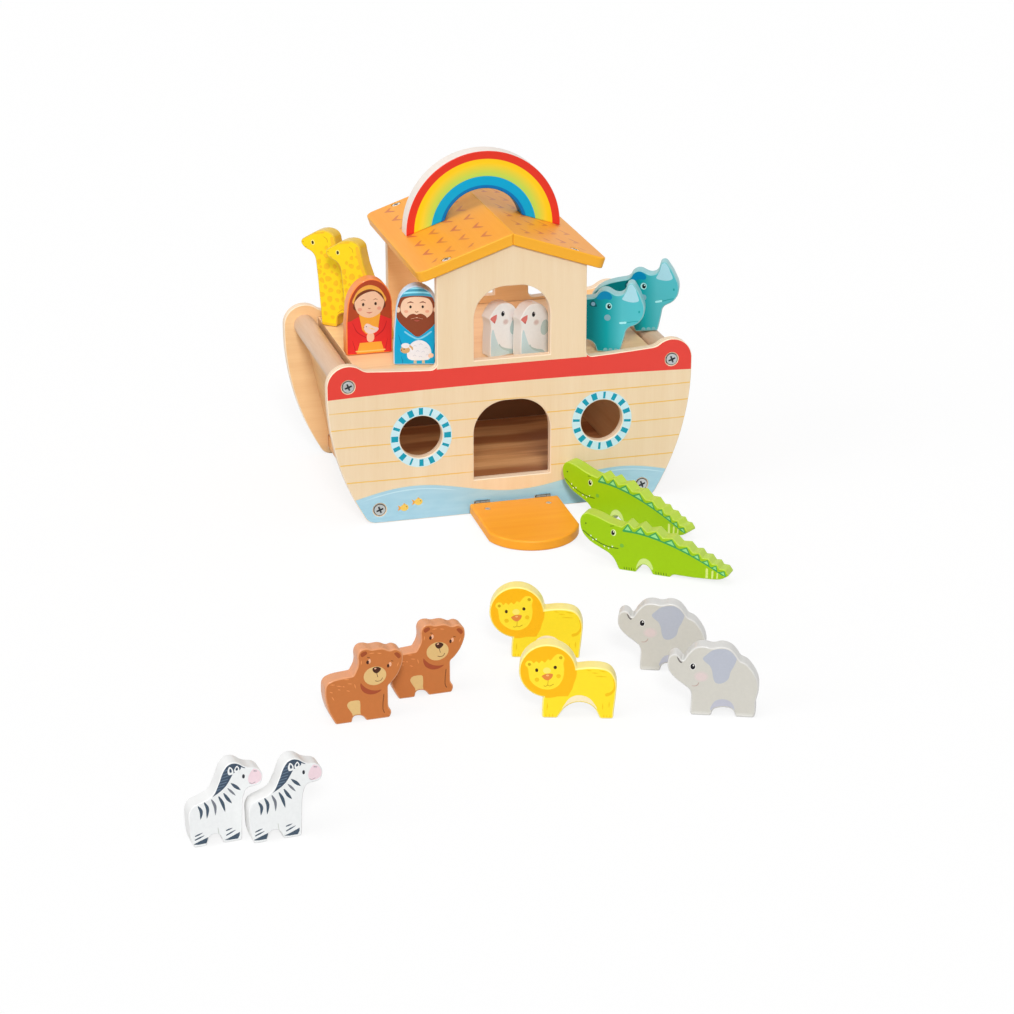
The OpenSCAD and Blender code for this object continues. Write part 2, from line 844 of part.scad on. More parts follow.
module ramp() {
    color("orange")
        ramp_frame()
            difference() {
                translate([0, 0, -ramp_under])
                    linear_extrude(ramp_t) {
                        translate([-ramp_w / 2, ramp_end_r - ramp_l])
                            square([ramp_w, ramp_l - ramp_end_r - ramp_gap]);
                        intersection() {
                            translate([0, ramp_end_r - ramp_l])
                                circle(ramp_end_r, $fn = 2 * $fn);
                            translate([-ramp_w / 2, -ramp_l])
                                square([ramp_w, ramp_end_r]);
                        }
                    }
                both_sides()
                    translate([hinge_x, 0, 0]) {
                        ramp_leaf_space(leaf_fit);
                        ramp_screw_place()
                            screw_bore(hinge_screw_r, ramp_t, hinge_head_r, hinge_head_h);
                    }
            }
}

module hinge_ramp_leaves() {
    side_x = (knuckle_l + side_l) / 2 + knuckle_gap;
    color("silver")
        ramp_frame()
            both_sides()
                translate([hinge_x, 0, 0])
                    difference() {
                        union() {
                            ramp_leaf_space(0);
                            both_sides() {
                                knuckle(side_x, side_l, pin_r + pin_run);
                                difference() {
                                    translate([side_x - side_l / 2, -ramp_gap - leaf_t, -knuckle_r])
                                        cube([side_l, ramp_gap + leaf_t, knuckle_r]);
                                    rotate([0, 90, 0])
                                        cylinder(r = pin_r + pin_run, h = 2 * leaf_w, center = true);
                                }
                            }
                        }
                        ramp_screw_place()
                            screw_bore(hinge_screw_r, ramp_t, hinge_head_r, hinge_head_h);
                    }
}

module ramp_screws() {
    color("silver")
        ramp_frame()
            both_sides()
                translate([hinge_x, 0, 0])
                    ramp_screw_place()
                        screw(hinge_screw_r, ramp_t - hinge_head_h, hinge_head_r, hinge_head_h);
}

// Slab with its front face towards the viewer, turned about the upright and tipped nose up
module figure(at, z, yaw, tip = 0) {
    translate([at.x, at.y, z])
        rotate([0, -tip, yaw])
            upright(0, fig_t)
                children();
}

module rounded_figure(at, z, yaw, pts, tip = 0) {
    figure(at, z, yaw, tip)
        polygon(rounded(pts));
}

module lion(at, yaw) {
    color("gold")
        figure(at, 0, yaw) {
            polygon(rounded(lion_outline));
            translate(mane_at)
                circle(mane_r);
        }
}

module crocodile(at, yaw) {
    color("yellowgreen")
        rounded_figure(at, 0, yaw, concat(crocodile_belly, scute_row(), crocodile_head));
}

module giraffe(at, yaw) {
    color("gold")
        rounded_figure(at - [rail_x, 0], stand_z, yaw, giraffe_outline);
}

module giraffe_1() {
    giraffe(giraffe_1_at, giraffe_turn);
}

module giraffe_2() {
    giraffe(giraffe_2_at, giraffe_turn);
}

module woman() {
    color("firebrick")
        rounded_figure(woman_at - [rail_x, 0], stand_z, woman_turn, woman_outline);
}

module man() {
    color("deepskyblue")
        rounded_figure(man_at - [rail_x, 0], stand_z, man_turn, man_outline);
}

module dove_1() {
    color("whitesmoke")
        rounded_figure(dove_1_at, stand_z, dove_turn, dove_outline);
}

module dove_2() {
    color("whitesmoke")
        rounded_figure(dove_2_at, stand_z, dove_turn, dove_outline);
}

module rhino_1() {
    color("lightseagreen")
        rounded_figure(rhino_1_at + [rail_x, 0], stand_z, rhino_turn, rhino_outline);
}

module rhino_2() {
    color("lightseagreen")
        rounded_figure(rhino_2_at + [rail_x, 0], rhino_nose_z, rhino_turn, rhino_outline, rhino_tilt);
}

module crocodile_1() {
    crocodile(crocodile_1_at, crocodile_1_turn);
}

module crocodile_2() {
    crocodile(crocodile_2_at, crocodile_2_turn);
}

module bear_1() {
    color("peru")
        rounded_figure(bear_1_at, 0, bear_turn, bear_outline);
}

module bear_2() {
    color("peru")
        rounded_figure(bear_2_at, 0, bear_turn, bear_outline);
}

module lion_1() {
    lion(lion_1_at, lion_turn);
}

module lion_2() {
    lion(lion_2_at, lion_turn);
}

module elephant_1() {
    color("lightgray")
        rounded_figure(elephant_1_at, 0, elephant_turn, elephant_outline);
}

module elephant_2() {
    color("lightgray")
        rounded_figure(elephant_2_at, 0, elephant_turn, elephant_outline);
}

module zebra_1() {
    color("white")
        rounded_figure(zebra_1_at, 0, zebra_turn, zebra_outline);
}

module zebra_2() {
    color("white")
        rounded_figure(zebra_2_at, 0, zebra_turn, zebra_outline);
}

front_panel();
back_panel();
deck();
hull_floor();
bow_board();
stern_board();
bow_rail();
stern_rail();
roof_left();
roof_right();
rainbow();
rainbow_pegs();
panel_screws();
roof_screws();
hinge_hull_leaves();
hinge_pins();
hinge_screws();
ramp();
hinge_ramp_leaves();
ramp_screws();
giraffe_1();
giraffe_2();
woman();
man();
dove_1();
dove_2();
rhino_1();
rhino_2();
crocodile_1();
crocodile_2();
bear_1();
bear_2();
lion_1();
lion_2();
elephant_1();
elephant_2();
zebra_1();
zebra_2();
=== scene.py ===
import math

import bmesh
import bpy
import numpy as np
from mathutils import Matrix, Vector
from mathutils.geometry import delaunay_2d_cdt


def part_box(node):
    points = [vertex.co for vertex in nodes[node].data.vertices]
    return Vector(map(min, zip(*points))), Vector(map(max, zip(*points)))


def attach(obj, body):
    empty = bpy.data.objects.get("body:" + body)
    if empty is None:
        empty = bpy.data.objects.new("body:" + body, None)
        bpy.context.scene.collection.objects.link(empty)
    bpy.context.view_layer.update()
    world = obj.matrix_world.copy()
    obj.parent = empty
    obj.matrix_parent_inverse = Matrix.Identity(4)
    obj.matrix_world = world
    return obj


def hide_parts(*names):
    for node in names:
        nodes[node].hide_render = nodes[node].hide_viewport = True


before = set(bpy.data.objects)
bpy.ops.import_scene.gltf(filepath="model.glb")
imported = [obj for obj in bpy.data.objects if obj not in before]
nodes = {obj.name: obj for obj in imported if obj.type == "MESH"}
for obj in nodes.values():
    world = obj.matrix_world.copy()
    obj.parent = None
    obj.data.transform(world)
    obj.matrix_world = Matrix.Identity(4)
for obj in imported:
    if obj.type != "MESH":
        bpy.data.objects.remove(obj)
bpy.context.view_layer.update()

mm = 0.001
print("frame:", len(nodes), "nodes")


def kindOf(name):  # bear_2 is a bear
    return name.rsplit("_", 1)[0]


# Shader maths

def colour(red, green, blue):  # screen values, 0 to 255
    def linear(value):
        value = value / 255
        return value / 12.92 if value <= 0.04045 else ((value + 0.055) / 1.055) ** 2.4
    return (linear(red), linear(green), linear(blue), 1.0)


class Wire:  # a shader socket that can stand in a sum
    def __init__(self, finish, socket):
        self.finish = finish
        self.socket = socket

    def maths(self, operation, *values):
        return self.finish.node("ShaderNodeMath", {"operation": operation}, dict(enumerate(values)))

    def __add__(self, other):
        return self.maths("ADD", self, other)

    def __radd__(self, other):
        return self.maths("ADD", other, self)

    def __sub__(self, other):
        return self.maths("SUBTRACT", self, other)

    def __rsub__(self, other):
        return self.maths("SUBTRACT", other, self)

    def __mul__(self, other):
        return self.maths("MULTIPLY", self, other)

    def __rmul__(self, other):
        return self.maths("MULTIPLY", other, self)

    def __truediv__(self, other):
        return self.maths("DIVIDE", self, other)

    def __rtruediv__(self, other):
        return self.maths("DIVIDE", other, self)

    def __mod__(self, other):
        return self.maths("FLOORED_MODULO", self, other)

    def __pow__(self, other):
        return self.maths("POWER", self, other)

    def __abs__(self):
        return self.maths("ABSOLUTE", self)

    def call(self, operation, *values):  # floor, cosine, minimum and the like
        return self.maths(operation.upper(), self, *values)

    def over(self, edge, soft=0.15):  # 1 where the value is above the edge
        return self.finish.node("ShaderNodeMapRange", {"interpolation_type": "SMOOTHSTEP"},
                                {"Value": self - edge, "From Min": -soft, "From Max": soft})

    def under(self, edge, soft=0.15):
        return 1 - self.over(edge, soft)

    def fade(self, start, end):  # 0 at the start, 1 at the end
        return self.finish.node("ShaderNodeMapRange", None, {"Value": self, "From Min": start, "From Max": end})


class Finish:  # one material, or the world, and its nodes
    def __init__(self, name, store=bpy.data.materials):
        self.material = store.new(name)
        self.material.use_nodes = True
        self.tree = self.material.node_tree
        self.tree.nodes.clear()

    def node(self, kind, settings=None, inputs=None, output=0):
        made = self.tree.nodes.new(kind)
        for key, value in (settings or {}).items():
            setattr(made, key, value)
        for key, value in (inputs or {}).items():
            if isinstance(value, Wire):
                self.tree.links.new(value.socket, made.inputs[key])
            else:
                made.inputs[key].default_value = value
        return Wire(self, made.outputs[output])

    def spot(self):  # the place on the part, in millimetres
        place = self.node("ShaderNodeTexCoord", output="Object")
        return self.node("ShaderNodeVectorMath", {"operation": "SCALE"}, {0: place, "Scale": 1 / mm})

    def split(self, vector):
        parts = self.node("ShaderNodeSeparateXYZ", None, {0: vector}).socket.node.outputs
        return [Wire(self, part) for part in parts]

    def along(self, vector, direction):  # how far the place lies along a direction
        return self.node("ShaderNodeVectorMath", {"operation": "DOT_PRODUCT"},
                         {0: vector, 1: tuple(direction)}, "Value")

    def stretch(self, vector, factors):
        return self.node("ShaderNodeVectorMath", {"operation": "MULTIPLY"}, {0: vector, 1: tuple(factors)})

    def noise(self, vector, scale, detail=3.0, rough=0.55):
        return self.node("ShaderNodeTexNoise", None,
                         {"Vector": vector, "Scale": scale, "Detail": detail, "Roughness": rough})

    def mix(self, factor, first, second, blend="MIX"):
        return self.node("ShaderNodeMix", {"data_type": "RGBA", "blend_type": blend},
                         {0: factor, 6: first, 7: second}, 2)

    def bump(self, height, strength, reach):
        return self.node("ShaderNodeBump", None, {"Height": height, "Strength": strength, "Distance": reach * mm})

    def surface(self, **sockets):  # closes the material
        names = {"base": "Base Color", "rough": "Roughness", "metal": "Metallic", "coat": "Coat Weight",
                 "coatRough": "Coat Roughness", "gloss": "Specular IOR Level", "normal": "Normal"}
        shade = self.node("ShaderNodeBsdfPrincipled", None, {names[key]: value for key, value in sockets.items()})
        return self.close(shade)

    def close(self, shade, output="ShaderNodeOutputMaterial"):
        out = self.tree.nodes.new(output)
        self.tree.links.new(shade.socket, out.inputs["Surface"])
        return self.material

    def seen(self):  # 1 for rays that show the backdrop: straight, mirrored or through glass
        path = self.node("ShaderNodeLightPath").socket.node.outputs
        rays = ("Is Camera Ray", "Is Glossy Ray", "Is Transmission Ray")
        eye, gloss, glass = [Wire(self, path[ray]) for ray in rays]
        return eye.call("maximum", gloss).call("maximum", glass)


# Separate solids within one CAD node, as arrays of points in millimetres

weldReach = 0.01


def islands(name):
    work = bmesh.new()
    work.from_mesh(nodes[name].data)
    bmesh.ops.remove_doubles(work, verts=work.verts, dist=weldReach * mm)
    left = set(work.verts)
    found = []
    while left:
        front = [left.pop()]
        group = []
        while front:
            vert = front.pop()
            group.append(tuple(vert.co / mm))
            for edge in vert.link_edges:
                other = edge.other_vert(vert)
                if other in left:
                    left.remove(other)
                    front.append(other)
        found.append(np.array(group))
    work.free()
    return sorted(found, key=lambda group: tuple(np.round(group.mean(0), 3)))


# Edges: welded CAD faces, smoothed, with a small round on every sharp edge

edgeRounds = {  # millimetres
    "front_panel": 0.9, "back_panel": 0.9, "deck": 0.5, "hull_floor": 0.5, "bow_board": 0.6, "stern_board": 0.6,
    "bow_rail": 0.4, "stern_rail": 0.4, "roof_left": 1.2, "roof_right": 1.2, "rainbow": 1.1, "rainbow_pegs": 0.3,
    "ramp": 2.0, "hinge_hull_leaves": 0.15, "hinge_ramp_leaves": 0.15, "hinge_pins": 0.15, "hinge_screws": 0.15,
    "panel_screws": 0.15, "roof_screws": 0.15, "ramp_screws": 0.15, "dove": 0.8, "crocodile": 0.9, "zebra": 0.8,
    "figure": 1.3,
}
sharpAngle = math.radians(33)
calmBy = {  # pieces let into a board: the edges round them stay nearly sharp
    "ramp": ("hinge_ramp_leaves", "ramp_screws"),
    "roof_left": ("roof_screws", "rainbow_pegs"), "roof_right": ("roof_screws", "rainbow_pegs"),
}
calmReach = 2.6
calmShare = 0.88
flatAngle = math.radians(0.6)


def edgeGroup(name, boxes):
    group = bpy.data.node_groups.new(name, "GeometryNodeTree")
    group.interface.new_socket("Geometry", in_out="INPUT", socket_type="NodeSocketGeometry")
    group.interface.new_socket("Geometry", in_out="OUTPUT", socket_type="NodeSocketGeometry")

    def add(kind, settings=None, links=None):
        made = group.nodes.new(kind)
        for key, value in (settings or {}).items():
            setattr(made, key, value)
        for key, value in (links or {}).items():
            if isinstance(value, bpy.types.NodeSocket):
                group.links.new(value, made.inputs[key])
            else:
                made.inputs[key].default_value = value
        return made.outputs

    def maths(operation, first, second):
        return add("ShaderNodeMath", {"operation": operation}, {0: first, 1: second})[0]

    def vectors(operation, first, second=(0, 0, 0)):
        return add("ShaderNodeVectorMath", {"operation": operation}, {0: first, 1: second})[0]

    sharp = maths("GREATER_THAN", add("GeometryNodeInputMeshEdgeAngle")[0], sharpAngle)
    ends = add("GeometryNodeInputMeshEdgeVertices")
    calm = None
    for low, high in boxes:
        middle = tuple((low + high) / 2 * mm)
        half = tuple((high - low) / 2 * mm)
        for end in (ends["Position 1"], ends["Position 2"]):
            beyond = vectors("SUBTRACT", vectors("ABSOLUTE", vectors("SUBTRACT", end, middle)), half)
            parts = add("ShaderNodeSeparateXYZ", None, {0: beyond})
            worst = maths("MAXIMUM", maths("MAXIMUM", parts[0], parts[1]), parts[2])
            inside = maths("LESS_THAN", worst, 0.0)
            calm = inside if calm is None else maths("MAXIMUM", calm, inside)
    weight = sharp
    if calm is not None:
        weight = maths("MULTIPLY", sharp, maths("SUBTRACT", 1.0, maths("MULTIPLY", calm, calmShare)))
    start = add("NodeGroupInput")
    normals = add("GeometryNodeSetMeshNormal", {"mode": "SHARPNESS"}, {"Mesh": start[0]})
    stored = add("GeometryNodeStoreNamedAttribute", {"data_type": "FLOAT", "domain": "EDGE"},
                 {"Geometry": normals[0], "Name": "bevel_weight_edge", "Value": weight})
    add("NodeGroupOutput", None, {0: stored[0]})
    return group


def roundEdges(name, width, group, segments=3):
    node = nodes[name]
    weld = node.modifiers.new("weld", "WELD")
    weld.merge_threshold = weldReach * mm
    flat = node.modifiers.new("flat", "DECIMATE")
    flat.decimate_type = "DISSOLVE"
    flat.angle_limit = flatAngle
    smooth = node.modifiers.new("smooth", "NODES")
    smooth.node_group = group
    bevel = node.modifiers.new("round", "BEVEL")
    bevel.width = width * mm
    bevel.segments = segments
    bevel.limit_method = "WEIGHT"
    bevel.use_clamp_overlap = False
    bevel.loop_slide = False
    bevel.harden_normals = True


plainEdges = edgeGroup("plainEdges", [])
for name in nodes:
    boxes = []
    for other in calmBy.get(name, ()):
        boxes += [(group.min(0) - calmReach, group.max(0) + calmReach) for group in islands(other)]
    width = edgeRounds.get(name) or edgeRounds.get(kindOf(name)) or edgeRounds["figure"]
    roundEdges(name, width, edgeGroup(name + "Edges", boxes) if boxes else plainEdges)
print("edges rounded")


def dress(name, material):
    slots = nodes[name].data.materials
    slots.clear()
    slots.append(material)


# Camera, floor and light

white = (1, 1, 1, 1)
cameraView = {"eye": (-0.6710, -2.4180, 0.9699), "target": (-0.0134, -0.0346, 0.0155), "lens": 101.4, "film": 36,
              "near": 0.05, "far": 50}
floorLook = {"tint": (195, 195, 195), "shadowShare": 0.2, "reach": 12.0, "drop": 0.05}
lights = {
    "world": 0.42,
    "softKey": (0.6, (-0.22, -0.16, 0.96), 40.0),  # strength, where it comes from, spread in degrees
    "frontFill": (1.65, (-0.16, -0.80, 0.577), 12.0),
    "sideFill": (0.7, (-0.90, -0.20, 0.35), 40.0),
    "houseFill": (0.05, (0.0, 0.135, 0.226), (0.08, 0.09)),  # watts, place under the roof, size
    "holdFill": (0.036, (0.0, 0.0975, 0.128), (0.2, 0.15)),  # the same, under the deck
}


def makeCamera():
    camera = bpy.data.objects.new("camera", bpy.data.cameras.new("camera"))
    bpy.context.scene.collection.objects.link(camera)
    camera.data.lens = cameraView["lens"]
    camera.data.sensor_width = cameraView["film"]
    camera.data.clip_start = cameraView["near"]
    camera.data.clip_end = cameraView["far"]
    camera.location = cameraView["eye"]
    sight = Vector(cameraView["target"]) - Vector(cameraView["eye"])
    camera.rotation_euler = sight.to_track_quat("-Z", "Y").to_euler()
    bpy.context.scene.camera = camera


def makeLamp(name):
    strength, origin, spread = lights[name]
    lamp = bpy.data.objects.new(name, bpy.data.lights.new(name, "SUN"))
    bpy.context.scene.collection.objects.link(lamp)
    lamp.data.energy = strength
    lamp.data.angle = math.radians(spread)
    lamp.rotation_euler = (-Vector(origin)).to_track_quat("-Z", "Y").to_euler()


def makeInsideLamp(name):
    power, place, size = lights[name]
    lamp = bpy.data.objects.new(name, bpy.data.lights.new(name, "AREA"))
    bpy.context.scene.collection.objects.link(lamp)
    lamp.data.energy = power
    lamp.data.shape = "RECTANGLE"
    lamp.data.size, lamp.data.size_y = size
    lamp.location = place
    lamp.visible_camera = False
    lamp.visible_glossy = False


def makeFloor():
    mesh = bpy.data.meshes.new("floor")
    reach = floorLook["reach"]
    corners = [(-reach, -reach, 0), (reach, -reach, 0), (reach, reach, 0), (-reach, reach, 0)]
    mesh.from_pydata(corners, [], [(0, 1, 2, 3)])
    floor = bpy.data.objects.new("floor", mesh)
    floor.location.z = -floorLook["drop"] * mm
    bpy.context.scene.collection.objects.link(floor)
    finish = Finish("floorPaper")
    seen = finish.seen()
    shine = finish.node("ShaderNodeEmission", None, {"Color": white, "Strength": 1.0})
    tint = finish.mix(seen, colour(*floorLook["tint"]), white)  # white to the eye, greyer in the light it throws back
    paper = finish.node("ShaderNodeBsdfDiffuse", None, {"Color": tint})
    both = finish.node("ShaderNodeMixShader", None, {0: seen * (1 - floorLook["shadowShare"]), 1: paper, 2: shine})
    mesh.materials.append(finish.close(both))


def makeWorld():
    sky = Finish("studio", bpy.data.worlds)
    soft = sky.node("ShaderNodeBackground", None, {"Color": white, "Strength": lights["world"]})
    bright = sky.node("ShaderNodeBackground", None, {"Color": white, "Strength": 1.0})
    both = sky.node("ShaderNodeMixShader", None, {0: sky.seen(), 1: soft, 2: bright})
    bpy.context.scene.world = sky.close(both, "ShaderNodeOutputWorld")


bpy.context.scene.view_settings.view_transform = "Standard"
makeCamera()
makeFloor()
makeWorld()
for name in ("softKey", "frontFill", "sideFill"):
    makeLamp(name)
for name in ("houseFill", "holdFill"):
    makeInsideLamp(name)
print("camera, floor and light set")


# Bare wood: broad bands, fibres and short pores drawn out along the grain

woodGrain = {
    "drawn": 0.04, "bands": 0.09, "fibres": 0.9, "pores": 3.2,  # how far the grain is drawn out, and the scales
    "middle": 0.35, "bandShare": 1.5, "fibreShare": 0.9, "poreShare": 0.25,
}


def woodTone(finish, spot, along, light, dark, contrast):
    grain = woodGrain
    drawn = finish.stretch(spot, [grain["drawn"] if axis == along else 1 for axis in "xyz"])
    bands = finish.noise(drawn, grain["bands"], 2.0)
    fibres = finish.noise(drawn, grain["fibres"], 4.0, 0.6)
    pores = finish.noise(drawn, grain["pores"], 2.0, 0.5).over(0.66, 0.06)
    tone = ((bands - 0.5) * grain["bandShare"] + (fibres - 0.5) * grain["fibreShare"]) * contrast
    tone = tone + grain["middle"] + pores * grain["poreShare"] * contrast
    clear = tone.call("maximum", 0.0).call("minimum", 1.0)
    return finish.mix(clear, colour(*light), colour(*dark)), fibres


# Side panels: birch plywood with a red band, plank lines and a wave along the keel

panelLook = {
    "thick": 9.0, "skin": 0.06, "wallX": 71.9, "wallZ": 145.2,
    "light": (245, 222, 188), "dark": (235, 204, 160), "innerLight": (250, 212, 160), "innerDark": (236, 190, 136),
    # edge: the bare ply's own pale edge, made lighter still as a painted highlight on the rounding
    "edge": (250, 228, 200), "plies": (226, 186, 144), "plyWidth": 1.8,
    # painted shade inside the hull: tint, top, half width and share of the darkening
    "holdShade": (104, 56, 26), "holdTop": 130.0, "holdReach": 120.0, "holdShare": 0.85,
    "band": (233, 65, 54), "bandLow": 124.3, "bandRise": 3.1, "bandHalf": 172.0,
    "planks": (240, 192, 88), "plankHeights": (110.8, 94.4, 77.0, 59.6, 42.0), "plankWidth": 1.05, "plankTop": 124.0,
    "wave": (164, 208, 226), "waveLight": (200, 231, 242), "waveMid": 27.5, "waveHeight": 7.3, "wavePeriod": 206.0,
    "waveShift": 5.0, "waveFall": 1.2e-4, "glintDrop": 3.4, "glintHalf": 0.55, "portX": 87.2, "portZ": 81.0,
}


def panelFinish(name, outerY):
    look = panelLook
    finish = Finish(name)
    spot = finish.spot()
    x, y, z = finish.split(spot)
    base, fibres = woodTone(finish, spot, "z", look["light"], look["dark"], 0.6)
    depth = abs(y - outerY)
    outside = depth.under(look["skin"], 0.03)
    inside = depth.over(look["thick"] - look["skin"], 0.03)
    face = outside.call("maximum", inside)
    inner, _ = woodTone(finish, spot, "x", look["innerLight"], look["innerDark"], 0.8)
    # painted shade: the inner faces below the deck darken towards dark brown inside the hull
    holdShade = z.under(look["holdTop"], 0.5) * abs(x).under(look["holdReach"], 0.5)
    inner = finish.mix(holdShade * look["holdShare"], inner, colour(*look["holdShade"]))
    base = finish.mix(inside, base, inner)
    ply = (depth / look["plyWidth"] % 2.0).over(1.0, 0.06)
    # the edges: bare ply with its plies, lighter than the face as a painted highlight
    edge = finish.mix(ply * 0.55 * (0.5 + fibres), colour(*look["edge"]), colour(*look["plies"]))
    base = finish.mix(face, edge, base)
    # plank lines, thin and here and there worn
    faint = finish.noise(finish.stretch(spot, (0.03, 1, 0.4)), 1.0, 2.0)
    sway = (finish.noise(finish.stretch(spot, (0.008, 0, 0)), 1.0, 1.0) - 0.5) * 3.0
    lines = None
    for height in look["plankHeights"]:
        line = abs(z - (height + sway)).under(look["plankWidth"] / 2, 0.25)
        lines = line if lines is None else lines.call("maximum", line)
    hull = z.under(look["plankTop"], 0.1)
    worn = 0.45 + 0.55 * faint.over(0.42, 0.12)
    base = finish.mix(lines * outside * hull * worn, base, colour(*look["planks"]))
    # wave along the keel with a lighter line under each crest
    turn = (x - look["waveShift"]) * (2 * math.pi / look["wavePeriod"])
    crest = turn.call("cosine") * -1
    top = look["waveMid"] + look["waveHeight"] * crest - x * x * look["waveFall"]
    water = z.under(top, 0.25) * outside
    washed = finish.noise(finish.stretch(spot, (0.1, 1, 0.4)), 0.5, 3.0)
    wave = finish.mix(washed.over(0.5, 0.3) * 0.35, colour(*look["wave"]), colour(*look["waveLight"]))
    glint = abs(z - (top - look["glintDrop"])).under(look["glintHalf"], 0.3) * crest.over(0.35, 0.3)
    wave = finish.mix(glint, wave, colour(*look["waveLight"]))
    base = finish.mix(water, base, wave)
    # red band under the sheer line
    low = look["bandLow"] + look["bandRise"] * (1 - (x / look["bandHalf"]) * (x / look["bandHalf"]))
    wall = abs(x).under(look["wallX"], 0.1) * z.over(look["wallZ"], 0.15)
    red = z.over(low, 0.15) * outside * (1 - wall)
    ink = finish.mix(fibres * 0.3, colour(*look["band"]), colour(*[0.94 * part for part in look["band"]]))
    base = finish.mix(red, base, ink)
    printed = red.call("maximum", water)
    rough = 0.5 - printed * 0.12 + (fibres - 0.5) * 0.15
    return finish.surface(base=base, rough=rough, coat=0.1, coatRough=0.3, gloss=0.35,
                          normal=finish.bump(fibres, 0.12, 0.15))


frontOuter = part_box("front_panel")[0].y / mm
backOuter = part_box("back_panel")[1].y / mm
dress("front_panel", panelFinish("frontPanelBirch", frontOuter))
dress("back_panel", panelFinish("backPanelBirch", backOuter))


# Boards, rails and pegs of plain wood

woods = {
    "deck": ("x", (250, 215, 168), (232, 186, 136), 0.9),
    "hull_floor": ("x", (244, 190, 130), (200, 132, 76), 1.1),
    "bow_board": ("y", (234, 190, 136), (208, 154, 100), 0.9),
    "stern_board": ("y", (234, 190, 136), (208, 154, 100), 0.9),
    "bow_rail": ("y", (226, 194, 166), (204, 162, 126), 0.8),
    "stern_rail": ("y", (226, 194, 166), (204, 162, 126), 0.8),
    "rainbow_pegs": ("z", (228, 192, 146), (204, 158, 110), 0.7),
}
floorStreaks = {  # dark heartwood on the hull floor's top
    "tint": (158, 86, 42), "drawn": 0.16, "pitch": 0.035, "share": 0.75,
}
for name, (grain, light, dark, contrast) in woods.items():
    finish = Finish(name + "Wood")
    spot = finish.spot()
    base, fibres = woodTone(finish, spot, grain, light, dark, contrast)
    if name == "hull_floor":
        top = finish.split(spot)[2].over(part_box(name)[1].z / mm - 0.3, 0.1)
        drawn = finish.stretch(spot, (floorStreaks["drawn"], 1, 1))
        streaks = finish.noise(drawn, floorStreaks["pitch"], 2.0).over(0.5, 0.12)
        base = finish.mix(streaks * top * floorStreaks["share"], base, colour(*floorStreaks["tint"]))
    dress(name, finish.surface(base=base, rough=0.5 + (fibres - 0.5) * 0.2, coat=0.1, coatRough=0.35, gloss=0.35,
                               normal=finish.bump(fibres, 0.15, 0.2)))
print("panels and boards finished")


# Roof: orange stain, with chevrons in staggered rows on top

roofLook = {
    "face": (248, 168, 48), "shade": (242, 152, 38), "edge": (248, 176, 44), "mark": (206, 104, 58),
    "pitch": 19.0, "rows": 4, "rowGap": 18.0, "rowStart": 20.0, "margin": 12.0, "markStart": 25.5, "markGap": 30.5,
    "markReach": 8.0, "markDepth": 6.4, "markWidth": 2.2,
}


def roofFinish(name, side):
    look = roofLook
    finish = Finish(name)
    spot = finish.spot()
    x, y, z = finish.split(spot)
    low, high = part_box("roof_left")
    ridge, roofFront, roofBack = high.z / mm, low.y / mm, high.y / mm
    slope = math.radians(look["pitch"])
    out = x * side
    down = out * math.cos(slope) + (ridge - z) * math.sin(slope)
    depth = (ridge - z) * math.cos(slope) - out * math.sin(slope)
    base, fibres = woodTone(finish, spot, "y", look["face"], look["shade"], 0.8)
    topFace = depth.under(0.08, 0.04)
    base = finish.mix(topFace, colour(*look["edge"]), base)
    # chevrons, every second row half a step on, each a little worn
    row = ((down - look["rowStart"]) / look["rowGap"] + 0.5).call("floor")
    along = (y - roofFront - look["markStart"]) / look["markGap"] - row * 0.5
    place = ((along + 0.5) % 1.0 - 0.5) * look["markGap"]
    fall = down - look["rowStart"] - row * look["rowGap"]
    arm = abs(fall - look["markDepth"] / 2 + abs(place) * (look["markDepth"] / look["markReach"]))
    thick = look["markWidth"] * (1.15 - abs(place) / look["markReach"] * 0.6)
    mark = (thick - arm).over(0.0, 0.6) * abs(place).under(look["markReach"], 0.8)
    rows = row.over(-0.5, 0.1) * row.under(look["rows"] - 0.5, 0.1)
    rows = rows * (y - roofFront).over(look["margin"], 0.2) * (roofBack - y).over(look["margin"], 0.2)
    worn = 0.55 + 0.4 * finish.noise(spot, 0.05, 2.0).over(0.5, 0.15)
    base = finish.mix(mark * rows * topFace * worn, base, colour(*look["mark"]))
    rough = 0.46 + (fibres - 0.5) * 0.16
    return finish.surface(base=base, rough=rough, coat=0.06, coatRough=0.4, gloss=0.3,
                          normal=finish.bump(fibres, 0.1, 0.12))


dress("roof_left", roofFinish("roofLeftStain", -1))
dress("roof_right", roofFinish("roofRightStain", 1))


# Ramp: the same orange, a little deeper

rampLook = {"face": (249, 168, 38), "shade": (243, 150, 28)}


def rampFinish():
    finish = Finish("rampStain")
    spot = finish.spot()
    base, fibres = woodTone(finish, spot, "x", rampLook["face"], rampLook["shade"], 0.8)
    return finish.surface(base=base, rough=0.44 + (fibres - 0.5) * 0.14, coat=0.06, coatRough=0.4, gloss=0.3,
                          normal=finish.bump(fibres, 0.1, 0.12))


dress("ramp", rampFinish())


# Rainbow: bands from the outside in, on both faces; the edges stay pale

rainbowLook = {
    "radius": 75.0, "rim": (243, 234, 226), "rimGrain": (226, 208, 190), "inner": (20, 120, 186), "innerAt": 33.0,
    "bands": ((0.0, (223, 56, 40)), (7.7, (255, 210, 30)), (24.0, (0, 170, 222)), (32.6, (0, 116, 192))),
    "lime": (188, 222, 92), "limeStart": 11.0, "limeEnd": 22.0,
}


